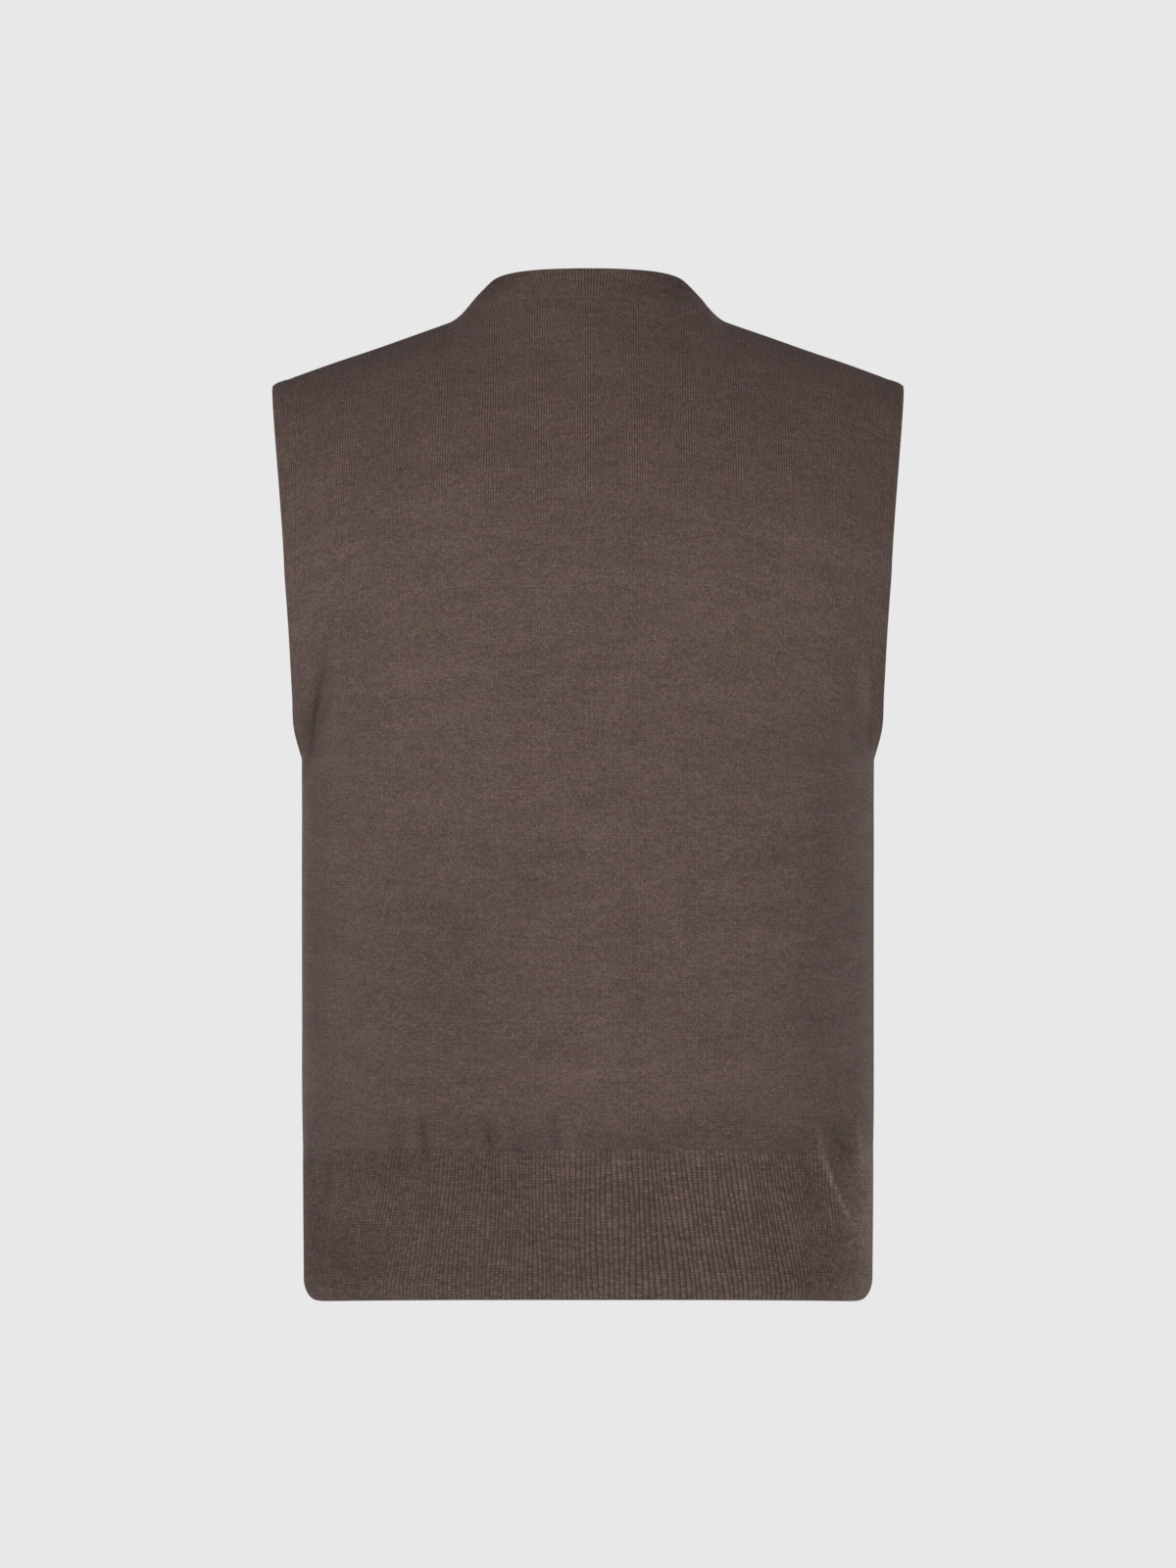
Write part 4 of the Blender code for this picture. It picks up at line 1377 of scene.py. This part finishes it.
# each side seam runs from the hem to the underarm, and each shoulder seam from the neck to the armhole
seamChain = {**neckChain, "Length": 0.0023, "Width": 0.0007, "Thickness": 0.0007, "Tilt": 0.18, "Seed": 8}
seamSunk = 0.00025
seamStitches = []
for hand, label in ((-1, "Left"), (1, "Right")):
    sideSeam, shoulderSeam = panelSeams[hand]
    sideSeam = [np.concatenate([hem, panel[1:-2]]) for hem, panel in zip(hemRibBorders[hand], sideSeam)]
    shoulderSeam = [part[1:-1] for part in shoulderSeam]
    for seamName, (points, outward) in (("side", sideSeam), ("shoulder", shoulderSeam)):
        seamStitches.append(makeChain(
            f"{seamName}SeamStitches{label}", points - outward * seamSunk, outward, seamChain))


def dress(piece, node):
    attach(piece, "root")
    if node:
        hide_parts(node)


dress(backPanel, "back_panel")
dress(frontPanel, "front_panel")
dress(hemRibBack, "hem_rib_back")
dress(hemRibFront, "hem_rib_front")
dress(neckbandKnit, "neckband")
dress(linkingStitches, None)
for stitches in seamStitches:
    dress(stitches, None)


# the camera is level with the middle of the back; the frame is 1.04 m tall where the side seams are
view = {"away": 4.2, "height": 0.342, "frameHeight": 1.040, "sensor": 36.0}
studio = {
    "grey": 0.807,
    "floorDrop": 1.70,
    "floorRadius": 16.0,
    "floorFade": (1.0, 3.6),
    "floorTone": 0.80,
    "floorGlow": 0.55,
    "floorLight": 0.60,
    "ceilingLight": 0.25,
    "ambient": 0.60,
    "floorSides": 96,
    "floorRough": 0.9,
}
# where each light stands: degrees round from the camera, degrees up, metres away, watts, metres across
lights = {
    "key": (-48.0, -10.0, 4.0, 47.0, 1.5),
    "fill": (18.0, -12.0, 4.0, 47.0, 1.6),
    "farKey": (-162.0, -5.0, 4.0, 50.0, 1.8),
    "farFill": (140.0, -5.0, 4.0, 44.0, 1.8),
}


def addLight(name, around, up, away, power, size):
    light = bpy.data.lights.new(name, "AREA")
    light.energy = power
    light.size = size
    lamp = placed(name, light)
    turn, rise = math.radians(around), math.radians(up)
    middle = Vector((0.0, 0.0, view["height"] - vest["shoulderHold"]))
    reach = Vector((math.sin(turn) * math.cos(rise), -math.cos(turn) * math.cos(rise), math.sin(rise)))
    lamp.location = middle + away * reach
    lamp.rotation_mode = "QUATERNION"
    lamp.rotation_quaternion = (-reach).to_track_quat("-Z", "Y")


def seenOr(tree, given):
    # 1 where the camera sees it straight, and else the light that it gives
    seen = add(tree, "ShaderNodeLightPath", output="Is Camera Ray")
    return add(tree, "ShaderNodeMix", {"Factor": seen, "A": given, "B": 1.0}, data_type="FLOAT")


def makeWorld():
    # plain pale grey; the light it gives is softer
    world = bpy.data.worlds.new("studio")
    bpy.context.scene.world = world
    world.use_nodes = True
    tree = world.node_tree
    up = axes(tree, add(tree, "ShaderNodeTexCoord", output="Generated"))[2]
    ambient = studio["ambient"]
    given = ranged(tree, up, 0.0, 1.0, ambient, ambient * studio["ceilingLight"])
    fill(tree.nodes["Background"], {"Color": (*[studio["grey"]] * 3, 1.0), "Strength": seenOr(tree, given)})


def makeFloor():
    # plain pale floor that runs out into the same grey as the world
    mesh = bpy.data.meshes.new("floor")
    turns = np.linspace(0.0, 2 * math.pi, studio["floorSides"], endpoint=False)
    radius = studio["floorRadius"]
    points = [(radius * math.cos(t), radius * math.sin(t), -studio["floorDrop"]) for t in turns]
    mesh.from_pydata(points, [], [range(len(points))])
    material, tree, shader = newMaterial("paleFloor")
    fill(shader, {"Base Color": (*[studio["floorTone"]] * 3, 1.0), "Roughness": studio["floorRough"]})
    glow = add(tree, "ShaderNodeEmission", {
        "Color": (*[studio["grey"]] * 3, 1.0),
        "Strength": seenOr(tree, studio["ambient"] * studio["floorLight"])})
    x, y, _ = axes(tree, objectPlace(tree))
    away = (x ** 2.0 + y ** 2.0).math("SQRT")
    fade = ranged(tree, away, *studio["floorFade"], studio["floorGlow"], 1.0, interpolation_type="SMOOTHSTEP")
    both = add(tree, "ShaderNodeMixShader", {0: fade, 1: Wire(shader.outputs[0]), 2: glow})
    fill(tree.nodes["Material Output"], {"Surface": both})
    mesh.materials.append(material)
    floor = placed("floor", mesh)


makeWorld()
makeFloor()
for lightName, setting in lights.items():
    addLight(lightName, *setting)
bpy.context.scene.view_settings.view_transform = "Standard"

camera = bpy.data.cameras.new("camera")
camera.sensor_width = view["sensor"]
camera.lens = view["sensor"] * view["away"] / view["frameHeight"]
cameraObject = placed("camera", camera)
cameraObject.location = (0.0, -view["away"], view["height"] - vest["shoulderHold"])
cameraObject.rotation_euler = (math.pi / 2, 0.0, 0.0)
bpy.context.scene.camera = cameraObject
print("studio: floor, light and camera ready")
